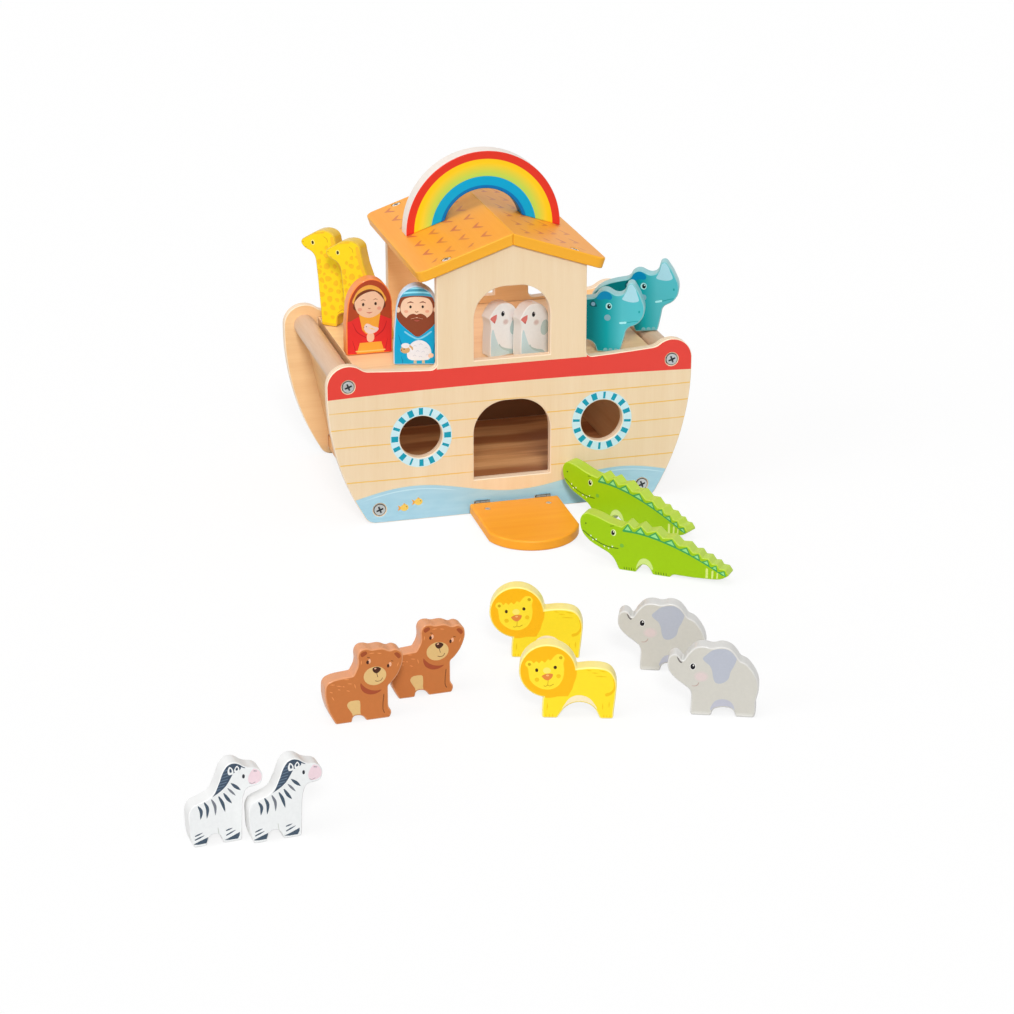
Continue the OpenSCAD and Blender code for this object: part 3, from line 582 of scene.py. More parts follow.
def rainbowFinish():
    look = rainbowLook
    finish = Finish("rainbowPaint")
    spot = finish.spot()
    x, y, z = finish.split(spot)
    low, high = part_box("rainbow")
    up = z - (high.z / mm - look["radius"])
    inward = look["radius"] - (x * x + up * up) ** 0.5
    base = colour(*look["bands"][0][1])
    for start, tint in look["bands"][1:]:
        base = finish.mix(inward.over(start, 0.2), base, colour(*tint))
        if start < look["limeStart"]:  # the yellow runs into lime
            base = finish.mix(inward.fade(look["limeStart"], look["limeEnd"]), base, colour(*look["lime"]))
    depth = (y - low.y / mm).call("minimum", high.y / mm - y)
    fibres = finish.noise(finish.stretch(spot, (1, 0.08, 1)), 0.8, 3.0)
    rim = finish.mix(fibres * 0.4, colour(*look["rim"]), colour(*look["rimGrain"]))
    rim = finish.mix(inward.over(look["innerAt"], 0.5), rim, colour(*look["inner"]))
    base = finish.mix(depth.over(0.5, 0.2), base, rim)
    ink = finish.noise(spot, 0.6, 3.0)
    return finish.surface(base=base, rough=0.38 + (ink - 0.5) * 0.1, coat=0.08, coatRough=0.2, gloss=0.14,
                          normal=finish.bump(ink, 0.05, 0.1))


dress("rainbow", rainbowFinish())


# Steel of hinges and screws

def steelFinish(name, bright, dark, rough):
    finish = Finish(name)
    spot = finish.spot()
    scratches = finish.noise(finish.stretch(spot, (0.4, 1, 1)), 2.2, 4.0, 0.65)
    base = finish.mix(scratches, colour(*bright), colour(*dark))
    return finish.surface(base=base, metal=1.0, rough=rough + (scratches - 0.5) * 0.2,
                          normal=finish.bump(scratches, 0.08, 0.05))


screwSteel = steelFinish("screwSteel", (214, 218, 218), (168, 174, 176), 0.3)
# painted shade for the cross recesses and the ring round the crowns
recessShadeSteel = steelFinish("recessShadeSteel", (84, 88, 92), (52, 56, 60), 0.45)
# pale steel, whitened further as a painted glare on the screw heads
paleGlareSteel = steelFinish("paleGlareSteel", (244, 240, 230), (216, 208, 194), 0.35)
hingeSteel = steelFinish("hingeSteel", (146, 144, 138), (108, 106, 102), 0.36)
for name in ("hinge_hull_leaves", "hinge_ramp_leaves", "hinge_pins", "hinge_screws"):
    dress(name, hingeSteel)


# Cross-head screws, turned to the sizes of the CAD ones and cut with a recess; the recess and a ring round the crown
# take a darker metal as painted shade

screwLook = {
    "rings": 40, "tip": 0.3, "point": 1.6,  # corners of a ring, and shares of the shank's radius
    "seat": 0.97, "crown": 0.9, "line": 0.76,  # shares of the head's radius
    "rimLow": 0.12, "rimHigh": 0.45, "recess": 0.6, "dome": 0.24,  # shares of the head's height
    "armReach": 0.6, "armWidth": 0.24, "armFlare": 1.3, "armEnd": 0.8, "armTurn": 0.35, "taper": 0.72,
}


def turnScrew(work, group):
    look = screwLook
    rings = look["rings"]
    middle = group.mean(0)
    _, axes = np.linalg.eigh(np.cov((group - middle).T))
    axis = axes[:, 2]
    tall = (group - middle) @ axis
    out = np.linalg.norm(group - middle - np.outer(tall, axis), axis=1)
    if tall[out.argmax()] < 0:  # the head is the wide end
        axis, tall = -axis, -tall
    headR = out.max()
    seat = tall[out > headR - 0.05].min()
    top, tip = tall.max(), tall.min()
    shankR = out[tall < seat - 0.05].max()
    foot = middle - axis * ((group - middle) @ axis).mean()
    side = np.cross(axis, (0, 0, 1)) if abs(axis[2]) < 0.9 else np.cross(axis, (0, 1, 0))
    side = side / np.linalg.norm(side)
    other = np.cross(axis, side)
    turns = [2 * math.pi * k / rings for k in range(rings)]

    def put(right, ahead, height):
        return work.verts.new(Vector(foot + side * right + other * ahead + axis * height) * mm)

    def crown(radius):  # height of the domed head
        return top - look["dome"] * (top - seat) * (radius / headR) ** 2

    def circle(radius):
        return [(radius * math.cos(a), radius * math.sin(a)) for a in turns]

    def ring(radius, height):
        return [put(right, ahead, height) for right, ahead in circle(radius)]

    rims = [ring(shankR * look["tip"], tip), ring(shankR, tip + shankR * look["point"]), ring(shankR, seat),
            ring(headR * look["seat"], seat), ring(headR, seat + look["rimLow"] * (top - seat)),
            ring(headR, seat + look["rimHigh"] * (top - seat)), ring(headR * look["crown"], crown(headR))]
    for low, high in zip(rims, rims[1:]):
        for k in range(rings):
            after = (k + 1) % rings
            face = work.faces.new((low[k], low[after], high[after], high[k]))
            # the ring round the crown takes the recess metal: a painted dark shade line
            face.material_index = int(high is rims[-1])
    work.faces.new(rims[0][::-1])
    # the crown, cut by the cross
    reach, half = headR * look["armReach"], headR * look["armWidth"] / 2 * look["armFlare"]
    end = half * look["armEnd"]
    cross = []
    for quarter in range(4):
        a = math.pi / 2 * quarter + look["armTurn"]
        for right, ahead in ((reach, -end), (reach, end), (half, half)):
            cross.append((right * math.cos(a) - ahead * math.sin(a), right * math.sin(a) + ahead * math.cos(a)))
    points = [Vector(p) for p in circle(headR * look["crown"]) + circle(headR * look["line"]) + cross]
    crossAt, crossEnd = 2 * rings, 2 * rings + len(cross)
    loops = [list(range(rings)), list(range(rings, crossAt)), list(range(crossAt, crossEnd))]
    spots, _, triangles, _, _, sources = delaunay_2d_cdt(points, [], loops, 1, 1e-5)
    upper = [put(p.x, p.y, crown(p.length)) if k >= rings else rims[-1][k] for k, p in enumerate(spots)]
    deep = top - look["recess"] * (top - seat)
    lower = {k: put(spots[k].x * look["taper"], spots[k].y * look["taper"], deep) for k in range(crossAt, crossEnd)}
    # the cross's floor takes the recess metal: painted shade in the recess
    for triangle, source in zip(triangles, sources):
        if 2 in source:  # the floor of the cross
            work.faces.new([lower[k] for k in triangle]).material_index = 1
        else:
            work.faces.new([upper[k] for k in triangle])
    # the walls of the cross, in the recess metal as painted shade
    for k in range(crossAt, crossEnd):
        after = crossAt + (k + 1 - crossAt) % len(cross)
        work.faces.new((upper[k], upper[after], lower[after], lower[k])).material_index = 1


def turnScrews(name, body, head, recess):
    work = bmesh.new()
    for group in islands(name):
        turnScrew(work, group)
    bmesh.ops.recalc_face_normals(work, faces=work.faces)
    mesh = bpy.data.meshes.new(name + "_turned")
    work.to_mesh(mesh)
    work.free()
    mesh.set_sharp_from_angle(angle=math.radians(30))
    for polygon in mesh.polygons:
        polygon.use_smooth = True
    mesh.materials.append(head)
    mesh.materials.append(recess)
    piece = bpy.data.objects.new(name + "_turned", mesh)
    bpy.context.scene.collection.objects.link(piece)
    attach(piece, body)
    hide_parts(name)


screwSets = {  # body, metal of the head, and the darker metal painted into the cross and round the crown as shade
    "panel_screws": ("ark", screwSteel, recessShadeSteel), "roof_screws": ("ark", paleGlareSteel, recessShadeSteel),
    "ramp_screws": ("ramp", paleGlareSteel, screwSteel),
}
for name, (body, head, recess) in screwSets.items():
    turnScrews(name, body, head, recess)
    dress(name, head)
print("roof, ramp, rainbow and steel finished")


# Figures: lacquered slabs; the sawn rim has its own tint, partly its paint and partly painted light (paler where
# light falls, darker on the giraffe's shaded rim)

figureLook = {  # face, rim (its paint with painted light: lighter where light falls, darker on the giraffe), and the leftmost point of the outline in the drawing's own millimetres
    "bear": ((205, 123, 66), (226, 158, 112), -8.58), "lion": ((254, 224, 44), (255, 238, 150), -19.3),
    "elephant": ((208, 205, 196), (217, 216, 213), -18.77), "zebra": ((244, 246, 246), (234, 234, 233), -3.42),
    "giraffe": ((254, 218, 30), (220, 178, 54), -36.57), "woman": ((229, 52, 50), (246, 150, 66), 0.03),
    "man": ((18, 166, 214), (210, 222, 236), 0.0), "dove": ((247, 246, 243), (240, 238, 233), -0.91),
    "rhino": ((22, 166, 174), (150, 206, 210), -63.59), "crocodile": ((157, 199, 14), (188, 214, 70), -41.68),
}
rhinoFade = {"belly": (84, 192, 202), "middle": (8, 165, 173), "back": (0, 122, 128), "bellyAt": 2.0,
             "middleAt": -12.0, "backAt": -26.0}


class Slab:  # a figure's own axes: right and up on its front face, and back into the wood
    def __init__(self, name, tip=0.0):
        self.name = name
        self.left = figureLook[kindOf(name)][2]
        mesh = nodes[name].data
        spots = np.array([tuple(v.co) for v in mesh.vertices]) / mm
        normals = np.array([tuple(p.normal) for p in mesh.polygons])
        areas = np.array([p.area for p in mesh.polygons])
        flat = (np.abs(normals[:, 2]) < 0.2) & (normals[:, 1] < 0)
        keys = np.round(normals, 2)
        sums = {}
        for key, area in zip(map(tuple, keys[flat]), areas[flat]):
            sums[key] = sums.get(key, 0) + area
        best = np.array(max(sums, key=sums.get))
        front = normals[flat & (np.abs(keys - best).max(1) < 0.011)].mean(0)
        front = front / np.linalg.norm(front)
        level = np.array([-front[1], front[0], 0.0])
        lift = np.array([0.0, 0.0, 1.0])
        self.right = level * math.cos(tip) + lift * math.sin(tip)
        self.up = lift * math.cos(tip) - level * math.sin(tip)
        self.back = -front
        self.corner = [(spots @ axis).min() for axis in (self.right, self.up, self.back)]
        self.thick = (spots @ self.back).max() - self.corner[2]
        flatSpots = np.stack([spots @ self.right, spots @ self.up])
        spread = np.cov(flatSpots)
        self.lean = 0.5 * math.atan2(2 * spread[0, 1], spread[0, 0] - spread[1, 1])

    def place(self, right, up, deep):
        return (self.right * (self.corner[0] + right - self.left) + self.up * (self.corner[1] + up)
                + self.back * (self.corner[2] + deep)) * mm

    def faces(self):  # the flat front once its edges are rounded, as outlines in drawing millimetres
        seen = nodes[self.name].evaluated_get(bpy.context.evaluated_depsgraph_get())
        mesh = seen.to_mesh()
        found = []
        for polygon in mesh.polygons:
            if polygon.normal.dot(Vector(-self.back)) > 0.9999 and polygon.area > 1e-6:
                spots = np.array([tuple(mesh.vertices[k].co) for k in polygon.vertices]) / mm
                found.append(np.stack([spots @ self.right - self.corner[0] + self.left,
                                       spots @ self.up - self.corner[1]], 1))
        seen.to_mesh_clear()
        return found


slabs = {name: Slab(name) for name in nodes if kindOf(name) in figureLook}
slabs["rhino_2"] = Slab("rhino_2", slabs["rhino_2"].lean - slabs["rhino_1"].lean)  # it sits tipped on the stern


def figureFinish(slab, kind):
    face, rimTintWithLight, _ = figureLook[kind]
    finish = Finish(slab.name + "Paint")
    spot = finish.spot()
    depth = finish.along(spot, slab.back) - slab.corner[2]
    inside = depth.call("minimum", slab.thick - depth)
    ink = finish.noise(spot, 0.35, 4.0, 0.6)
    fine = finish.noise(spot, 2.0, 2.0)
    base = finish.mix((ink - 0.3) * 0.9, colour(*face), colour(*[0.95 * part for part in face]))
    if kind == "rhino":
        across = finish.along(spot, slab.right) - slab.corner[0] + slab.left
        fade = rhinoFade
        toMiddle = across.fade(fade["bellyAt"], fade["middleAt"])
        toBack = across.fade(fade["middleAt"], fade["backAt"])
        base = finish.mix(toMiddle, colour(*fade["belly"]), colour(*fade["middle"]))
        base = finish.mix(toBack, base, colour(*fade["back"]))
    # the rim tint holds painted light as well as the rim's own paint
    rim = finish.mix(ink * 0.3, colour(*rimTintWithLight), colour(*face))
    sawn = inside.over(0.06, 0.05)
    base = finish.mix(sawn, base, rim)
    return finish.surface(base=base, rough=0.4 + (fine - 0.5) * 0.08, coat=0.06 + sawn * 0.3, coatRough=0.18,
                          gloss=0.14, normal=finish.bump(fine, 0.04, 0.1))


for name, slab in slabs.items():
    dress(name, figureFinish(slab, kindOf(name)))
print("figures painted")


# Drawing tools for the prints; every shape is a closed outline in millimetres

def bend(a, b, c, d, t):  # smooth curve from b to c
    return 0.5 * (2 * b + (c - a) * t + (2 * a - 5 * b + 4 * c - d) * t * t + (3 * b - a - 3 * c + d) * t ** 3)


def patch(*points):  # smooth outline through a few points
    count = len(points)
    outline = []
    for k in range(count):
        a, b, c, d = (np.array(points[(k + step) % count], float) for step in (-1, 0, 1, 2))
        outline += [bend(a, b, c, d, part / 5) for part in range(5)]
    return outline


def sharp(*points):  # straight-sided outline
    return [np.array(point, float) for point in points]


def oval(x, y, across, tall=None, turn=0.0):
    tall = across if tall is None else tall
    lean = math.radians(turn)
    outline = []
    count = 28 if across < 8 else 72
    for k in range(count):
        a = 2 * math.pi * k / count
        right, up = across * math.cos(a), tall * math.sin(a)
        outline.append(np.array((x + right * math.cos(lean) - up * math.sin(lean),
                                 y + right * math.sin(lean) + up * math.cos(lean))))
    return outline


def stroke(points, *widths):  # brush line that may taper
    points = [np.array(point, float) for point in points]
    widths = list(widths) if len(widths) > 1 else list(widths) * 2
    path = [points[0]]
    ends = [2 * points[0] - points[1]] + points + [2 * points[-1] - points[-2]]
    for k in range(len(points) - 1):
        a, b, c, d = ends[k:k + 4]
        path += [bend(a, b, c, d, part / 6) for part in range(1, 7)]
    halves = np.interp(np.linspace(0, 1, len(path)), np.linspace(0, 1, len(widths)), widths) / 2
    ways = np.gradient(np.array(path), axis=0)
    ways = ways / np.linalg.norm(ways, axis=1)[:, None]
    sides = np.stack([-ways[:, 1], ways[:, 0]], 1)
    one = [p + s * h for p, s, h in zip(path, sides, halves)]
    two = [p - s * h for p, s, h in zip(path, sides, halves)]
    caps = (-0.8, 0.0, 0.8)  # rounded ends
    start = [path[0] - ways[0] * halves[0] * math.cos(a) - sides[0] * halves[0] * math.sin(a) for a in caps]
    end = [path[-1] + ways[-1] * halves[-1] * math.cos(a) + sides[-1] * halves[-1] * math.sin(a) for a in caps]
    return two + end + one[::-1] + start


# Bear

bearInk = {"muzzle": (231, 194, 130), "nose": (74, 40, 26), "line": (112, 66, 38), "glint": (246, 188, 152),
           "ear": (166, 82, 46), "bib": (172, 82, 50), "fur": (236, 153, 90)}


def bearPrint():
    ink = bearInk
    shapes = [
        (ink["muzzle"], oval(32.3, 37.8, 9.2, 7.9)),
        (ink["bib"], patch((20.5, 33), (20.4, 29.5), (22.5, 25.3), (27, 22.6), (32, 22.3), (36, 23.8), (37.3, 25.2),
                           (33.5, 25), (29, 26), (25, 28.2), (22.2, 31))),
        (ink["muzzle"], patch((9.2, 15), (10.5, 18), (14, 18.9), (19, 18.3), (19.9, 15), (19.8, 9), (19.5, 5.6),
                              (14, 5.6), (13, 8), (11.5, 10.5))),
        (ink["nose"], patch((30.5, 44.5), (34, 45.3), (37.2, 43.5), (36, 41), (33.5, 39.8), (31, 41.5))),
        (ink["glint"], oval(32.7, 44, 0.9, 0.6, 15)),
        (ink["line"], stroke(((33.7, 40), (34.2, 38), (34.6, 36.5)), 0.5)),
        (ink["line"], stroke(((32.5, 33.5), (34.5, 32.8), (37, 33.3), (38.3, 35.2)), 0.55)),
        (ink["glint"], oval(28, 51, 1.1, 1.9)), (ink["glint"], oval(44.8, 46, 1.1, 1.9)),
        (ink["nose"], oval(26.5, 50.2, 1.1, 1.6)), (ink["nose"], oval(43.2, 44.9, 1.0, 1.6)),
        (ink["ear"], patch((20.8, 57.5), (22.5, 59.3), (25.2, 59.7), (26.3, 57.8), (24.5, 56.3), (22, 55.3))),
        (ink["ear"], patch((48.3, 54.6), (50.5, 55.5), (53, 53.5), (53.6, 51.5), (52, 50), (50, 52))),
        (ink["line"], stroke(((39.3, 21), (38.5, 14), (38.4, 8), (39.5, 5)), 0.6)),
        (ink["line"], stroke(((45.8, 48.9), (47.2, 48.3)), 0.6)),
        (ink["line"], stroke(((26.5, 54.5), (28, 54)), 0.6)),
    ]
    for start, end in (((7, 38.3), (11, 37.5)), ((1, 33.5), (5, 32.3)), ((6, 32.5), (7.4, 31.7)),
                       ((-6.5, 19.5), (-6, 16)), ((-6.2, 14), (-4.5, 12)), ((2, 30.2), (4, 29.6)),
                       ((-4, 35), (-0.5, 34.6)), ((10, 34.2), (13.5, 33.4)), ((-4.6, 29), (-2.2, 28)),
                       ((-3, 24.5), (-1.4, 21.5)), ((9, 28.4), (11.6, 27.4)), ((28, 57.6), (32, 57.4)),
                       ((34.5, 57), (38, 56.2)), ((21.6, 52.4), (21.2, 49)), ((51.6, 46.6), (50.6, 43.4)),
                       ((15.5, 33), (16.4, 29.4))):
        shapes.append((ink["fur"], stroke((start, end), 0.3, 0.9, 0.3)))
    return shapes


# Lion

lionInk = {"mane": (254, 188, 20), "face": (254, 226, 52), "ear": (208, 168, 22), "eye": (66, 42, 20),
           "nose": (229, 137, 62), "glint": (251, 194, 116), "cheek": (243, 196, 28), "bridge": (253, 234, 112),
           "mouth": (206, 160, 30), "belly": (250, 233, 192), "tail": (246, 196, 24), "fur": (243, 200, 22)}


def lionPrint():
    ink = lionInk
    shapes = [
        (ink["mane"], oval(3.5, 40.5, 22.8)),
        (ink["mane"], sharp((10, 19), (19.6, 19.4), (23, 26), (25.4, 36), (15, 36))),
        (ink["face"], patch((-11.5, 38), (-12.2, 43), (-14.3, 46), (-12.7, 49.2), (-9.6, 49.4), (-7.6, 47.4),
                            (-5.6, 49.2), (-3.4, 47.6), (-1.2, 49.6), (1.2, 48.2), (3.4, 50.8), (5.8, 50.2), (8, 53),
                            (10.8, 55.4), (14.4, 55.2), (16.6, 52), (15.8, 47.5), (16.4, 42), (15.5, 35), (12, 28.5),
                            (6, 25), (-1, 25.3), (-7, 28.7), (-10.5, 33))),
        (ink["ear"], oval(-11, 46.3, 1.3)), (ink["ear"], oval(13.6, 52.4, 1.4)),
        (ink["bridge"], oval(2.8, 41.2, 3.0, 2.6)),
        (ink["eye"], oval(-5.2, 41.4, 1.2, 1.6)), (ink["eye"], oval(9.3, 44, 1.3, 1.5)),
        (ink["nose"], patch((-1.2, 36.4), (2, 38.3), (6, 38.6), (7.6, 37.9), (6.6, 35), (4, 32.8), (1.5, 33.2),
                            (-0.3, 34.8))),
        (ink["glint"], oval(3.3, 37, 1.2, 0.7)),
        (ink["cheek"], oval(-5, 33.2, 1.8)), (ink["cheek"], oval(12, 36.5, 1.8)),
        (ink["mouth"], stroke(((3.8, 32.6), (3.7, 30.5), (3.5, 28.6)), 0.5)),
        (ink["mouth"], stroke(((0.6, 27.9), (2, 27.6), (3.5, 28.5), (5.4, 28), (8, 29.5)), 0.6)),
        (ink["belly"], patch((14.5, 6.5), (17.2, 12.5), (20.5, 17.2), (25, 19.8), (30, 20.2), (35, 18.6), (39, 15),
                             (42.5, 8), (36, 7), (22, 7))),
        (ink["tail"], stroke(((55.5, 34.5), (56.5, 30), (56, 26), (53.5, 22.5), (50, 21)), 1.4, 1.7, 2.8)),
    ]
    for start, end in (((34, 42), (38, 41.5)), ((44, 41.8), (50, 40.5)), ((38, 39.8), (43, 39.5)),
                       ((41, 37), (50, 36.5)), ((3.5, 13), (3, 7)), ((47, 13.5), (47, 8)), ((52, 15), (52, 10))):
        shapes.append((ink["fur"], stroke((start, end), 0.3, 1.0, 0.3)))
    for foot in (2.2, 4.8, 7.4, 48, 50.4, 52.8):
        shapes.append((ink["tail"], stroke(((foot, 1.6), (foot, 3.6)), 0.8, 0.3)))
    return shapes


# Elephant

elephantInk = {"ear": (184, 188, 199), "eye": (34, 32, 36), "halo": (232, 230, 226), "blush": (214, 204, 198),
               "cheek": (221, 204, 201), "line": (190, 162, 152), "notchShade": (120, 114, 112), "belly": (189, 190, 202),
               "foot": (224, 222, 216), "shin": (215, 213, 205)}


def elephantPrint():
    ink = elephantInk
    shapes = [
        (ink["ear"], patch((9, 49.5), (12, 53), (17, 57), (24, 58.3), (30, 57.5), (34.5, 54), (35.5, 50), (33.5, 44),
                           (31, 39), (29.5, 33), (26, 29.5), (22, 28.3), (19, 29.5), (17.3, 34), (16.5, 39),
                           (14.5, 43.5), (11, 46.5))),
        (ink["halo"], oval(1.3, 42.2, 2.4, 3.1)), (ink["eye"], oval(1.2, 42.1, 1.9, 2.5)),
        (ink["halo"], oval(1.7, 43.1, 0.55, 0.7)),
        (ink["blush"], oval(8, 33.8, 5.8, 4.6)), (ink["cheek"], oval(8, 33.6, 4.2, 3.3)),
        (ink["line"], stroke(((1, 25.4), (3.6, 25.5), (5.5, 26.8), (6.2, 28.4)), 0.4, 0.8, 0.6)),
        # painted shade in the notch between trunk and head
        (ink["notchShade"], patch((-11.8, 51.5), (-9.2, 50.2), (-6.8, 47.2), (-8, 44.6), (-10.4, 46.8))),
        (ink["belly"], patch((15.8, 5), (17.5, 10.5), (20.5, 13.8), (25.5, 15), (30.5, 13.8), (34, 10), (35, 4.5),
                             (30, 6), (21, 6))),
    ]
    for low, high in ((-1, 17), (35, 53)):
        shapes.append((ink["shin"], sharp((low, -1), (high, -1), (high, 3.4), (low, 4.0))))
        shapes.append((ink["foot"], sharp((low, -1), (high, -1), (high, 2.0), (low, 2.6))))
    return shapes


# Zebra

zebraInk = {"mane": (68, 83, 101), "ear": (244, 246, 246), "comb": (108, 128, 150), "stripe": (72, 88, 104),
            "pale": (122, 126, 136), "eye": (50, 52, 60), "muzzle": (245, 220, 227), "nostril": (150, 138, 146),
            "mouth": (192, 172, 180), "line": (206, 209, 203)}


def zebraPrint():
    ink = zebraInk
    shapes = [
        (ink["mane"], patch((9.5, 37.2), (12.5, 39), (15.5, 43), (18, 49), (20.4, 54.5), (22.8, 60), (26, 63.6),
                            (30, 64.2), (34, 63), (37, 60.8), (39.8, 58.4), (39.2, 57.2), (35.8, 58.8), (32.6, 60),
                            (29.4, 60), (27, 58.5), (26.6, 56.4), (27.8, 54.6), (30, 54), (28.6, 51), (26.8, 48),
                            (24.6, 45), (21.4, 42.2), (18, 40), (13.5, 37.8))),
        (ink["mane"], patch((26, 54.4), (26.2, 60), (29.4, 61.4), (32.6, 61.4), (35.8, 59.6), (36.4, 57.4),
                            (34.4, 55.6), (31, 54.6), (28.4, 53.4))),
        (ink["ear"], patch((27.4, 53.6), (26.5, 56.6), (28, 60), (30.4, 57.6), (30.6, 54.2))),
        (ink["mane"], patch((28.2, 55.4), (27.9, 57.2), (28.5, 58.6), (29.5, 57.2), (29.6, 55.6))),
        (ink["ear"], patch((31.8, 55), (31.6, 57.6), (33.6, 60), (35.2, 57.6), (34.6, 55.2))),
        (ink["mane"], patch((32.6, 56.4), (32.6, 57.8), (33.6, 58.8), (34.3, 57.6), (33.9, 56.4))),
        (ink["muzzle"], patch((41.6, 48.5), (43, 52.5), (46, 55.8), (49.6, 55.4), (52, 51.5), (51.6, 46.5),
                              (48, 43.8), (44, 43.6), (42, 45.4))),
        (ink["eye"], oval(38.1, 50.8, 1.0, 1.7)),
        (ink["nostril"], stroke(((46, 53.8), (48.2, 53.3)), 0.8, 0.4)),
        (ink["mouth"], stroke(((42.4, 44.8), (44.2, 44), (46.6, 44.8)), 0.6)),
        (ink["stripe"], sharp((-1.4, 2.7), (4.5, 4.9), (10.4, 6.9), (9.2, 2.2), (3, 2.1))),
        (ink["stripe"], sharp((22.2, 2.3), (28, 4.4), (34, 6.9), (33.8, 4.6), (32.4, 1.8), (26, 1.8))),
        (ink["line"], stroke(((17.8, 13), (18.5, 7.5)), 0.5)),
    ]
    for start, end in (((19.6, 51.5), (26.8, 53)), ((18.8, 49.3), (26.3, 50.5)), ((18, 47.1), (25.4, 48.2)),
                       ((17.2, 44.9), (23.7, 45.8)), ((20.8, 54.2), (26.4, 55.2)), ((22, 57), (26.4, 57.6)),
                       ((16, 42.7), (20.6, 43.3))):
        shapes.append((ink["comb"], stroke((start, end), 0.6)))
    for points in (((4, 32.4), (6, 28), (5.3, 22)), ((8.6, 34.8), (10.7, 29.5), (10, 22)),
                   ((19.4, 37.6), (21.9, 32), (23.6, 25)), ((23.2, 39.6), (25.8, 35), (28.7, 31))):
        shapes.append((ink["stripe"], stroke(points, 0.9, 1.7, 2.2, 2.4, 2.1, 1.4, 0.2)))
    shapes.append((ink["pale"], stroke(((14, 36.2), (16.3, 30.5), (16.4, 23.5)), 0.8, 1.6, 2.1, 2.1, 1.8, 1.2, 0.2)))
    shapes.append((ink["pale"], stroke(((26.2, 43.2), (28.6, 40.4), (31.6, 36.7)), 0.5, 1.3, 1.7, 1.4, 0.3)))
    shapes.append((ink["stripe"], stroke(((28.8, 46.8), (32, 43.7), (35.5, 40.3)), 0.6, 1.9, 2.5, 2.0, 0.3)))
    for start, end in (((1, 9.2), (6.2, 11)), ((0.8, 6.2), (7.5, 8.7)), ((24, 9.8), (28.5, 11)),
                       ((24, 6), (30.8, 9))):
        shapes.append((ink["stripe"], stroke((start, end), 0.9, 1.2, 0.3)))
    return shapes


# Crocodile: the scutes follow the back of the CAD outline

crocodileInk = {"mouth": (72, 112, 20), "tooth": (242, 250, 224), "halo": (226, 240, 172), "pupil": (26, 30, 20),
                "cheek": (120, 182, 58), "ridge": (56, 158, 84), "scute": (152, 221, 142), "band": (216, 233, 132),
                "belly": (206, 227, 132), "claw": (84, 116, 20)}
crocodileBack = {"curve": ((-2, 40), (38, 42), (98, 10)),
                 "steps": (0, 0.14, 0.28, 0.44, 0.59, 0.71, 0.79, 0.87, 0.93, 1), "height": 6.0}


def backPoint(t, height):
    a, b, c = (np.array(point, float) for point in crocodileBack["curve"])
    way = (1 - t) * (b - a) + t * (c - b)
    way = way / np.linalg.norm(way)
    return (1 - t) ** 2 * a + 2 * t * (1 - t) * b + t * t * c + height * np.array((-way[1], way[0]))


def crocodilePrint():
    ink = crocodileInk
    steps = crocodileBack["steps"]
    shapes = [
        (ink["mouth"], stroke(((-38.5, 32.5), (-32, 28), (-22, 22.6), (-13, 20.3), (-5, 20)), 0.9)),
        (ink["halo"], oval(-9.6, 34.4, 2.5, 3.1)), (ink["pupil"], oval(-10, 34.3, 1.7, 2.3)),
        (ink["tooth"], oval(-9.5, 35.2, 0.6)),
        (ink["cheek"], oval(-1.5, 23.3, 1.9)), (ink["mouth"], oval(-36, 39.6, 0.8)),
        (ink["mouth"], stroke(((-12.5, 40.3), (-9.5, 40.9)), 0.6)),
        (ink["belly"], patch((12.5, 4), (14.5, 10.5), (18, 13.8), (22, 14), (26, 11), (28.3, 5), (24, 5), (17, 5))),
        (ink["band"], stroke(((78.5, 4), (78.5, 13)), 2.2)), (ink["band"], stroke(((83.5, 4.5), (83.8, 11.8)), 1.8)),
        (ink["band"], stroke(((88, 5), (88.3, 10.6)), 1.4)),
    ]
    for u, v in ((-31, 28.3), (-29, 24.8), (-26, 25.6), (-18, 20), (-14, 18.8), (-10.5, 21)):
        shapes.append((ink["tooth"], sharp((u - 0.8, v + 0.8), (u, v - 0.9), (u + 0.8, v + 0.6))))
    shapes.append((ink["ridge"], stroke([backPoint(t, -2.6) for t in np.linspace(0.02, 0.97, 9)], 1.5, 1.4, 0.8)))
    for low, high in zip(steps, steps[1:]):
        tall, inset = crocodileBack["height"] * (1 - low / 2), 0.06 * (high - low)
        corners = [backPoint(low + inset, -2.4), backPoint(high - inset, -2.4),
                   backPoint((low + high) / 2, tall - 1.4)]
        middle = sum(corners) / 3
        shapes.append((ink["ridge"], sharp(*corners)))
        shapes.append((ink["scute"], sharp(*[middle + (corner - middle) * 0.58 for corner in corners])))
    for foot in (1, 3.3, 5.6, 7.9, 10.2, 31, 33.4, 35.8, 38.2, 40.6):
        shapes.append((ink["claw"], stroke(((foot, 3.4), (foot + 0.2, 1.5)), 0.4, 0.9)))
    return shapes


# Giraffe

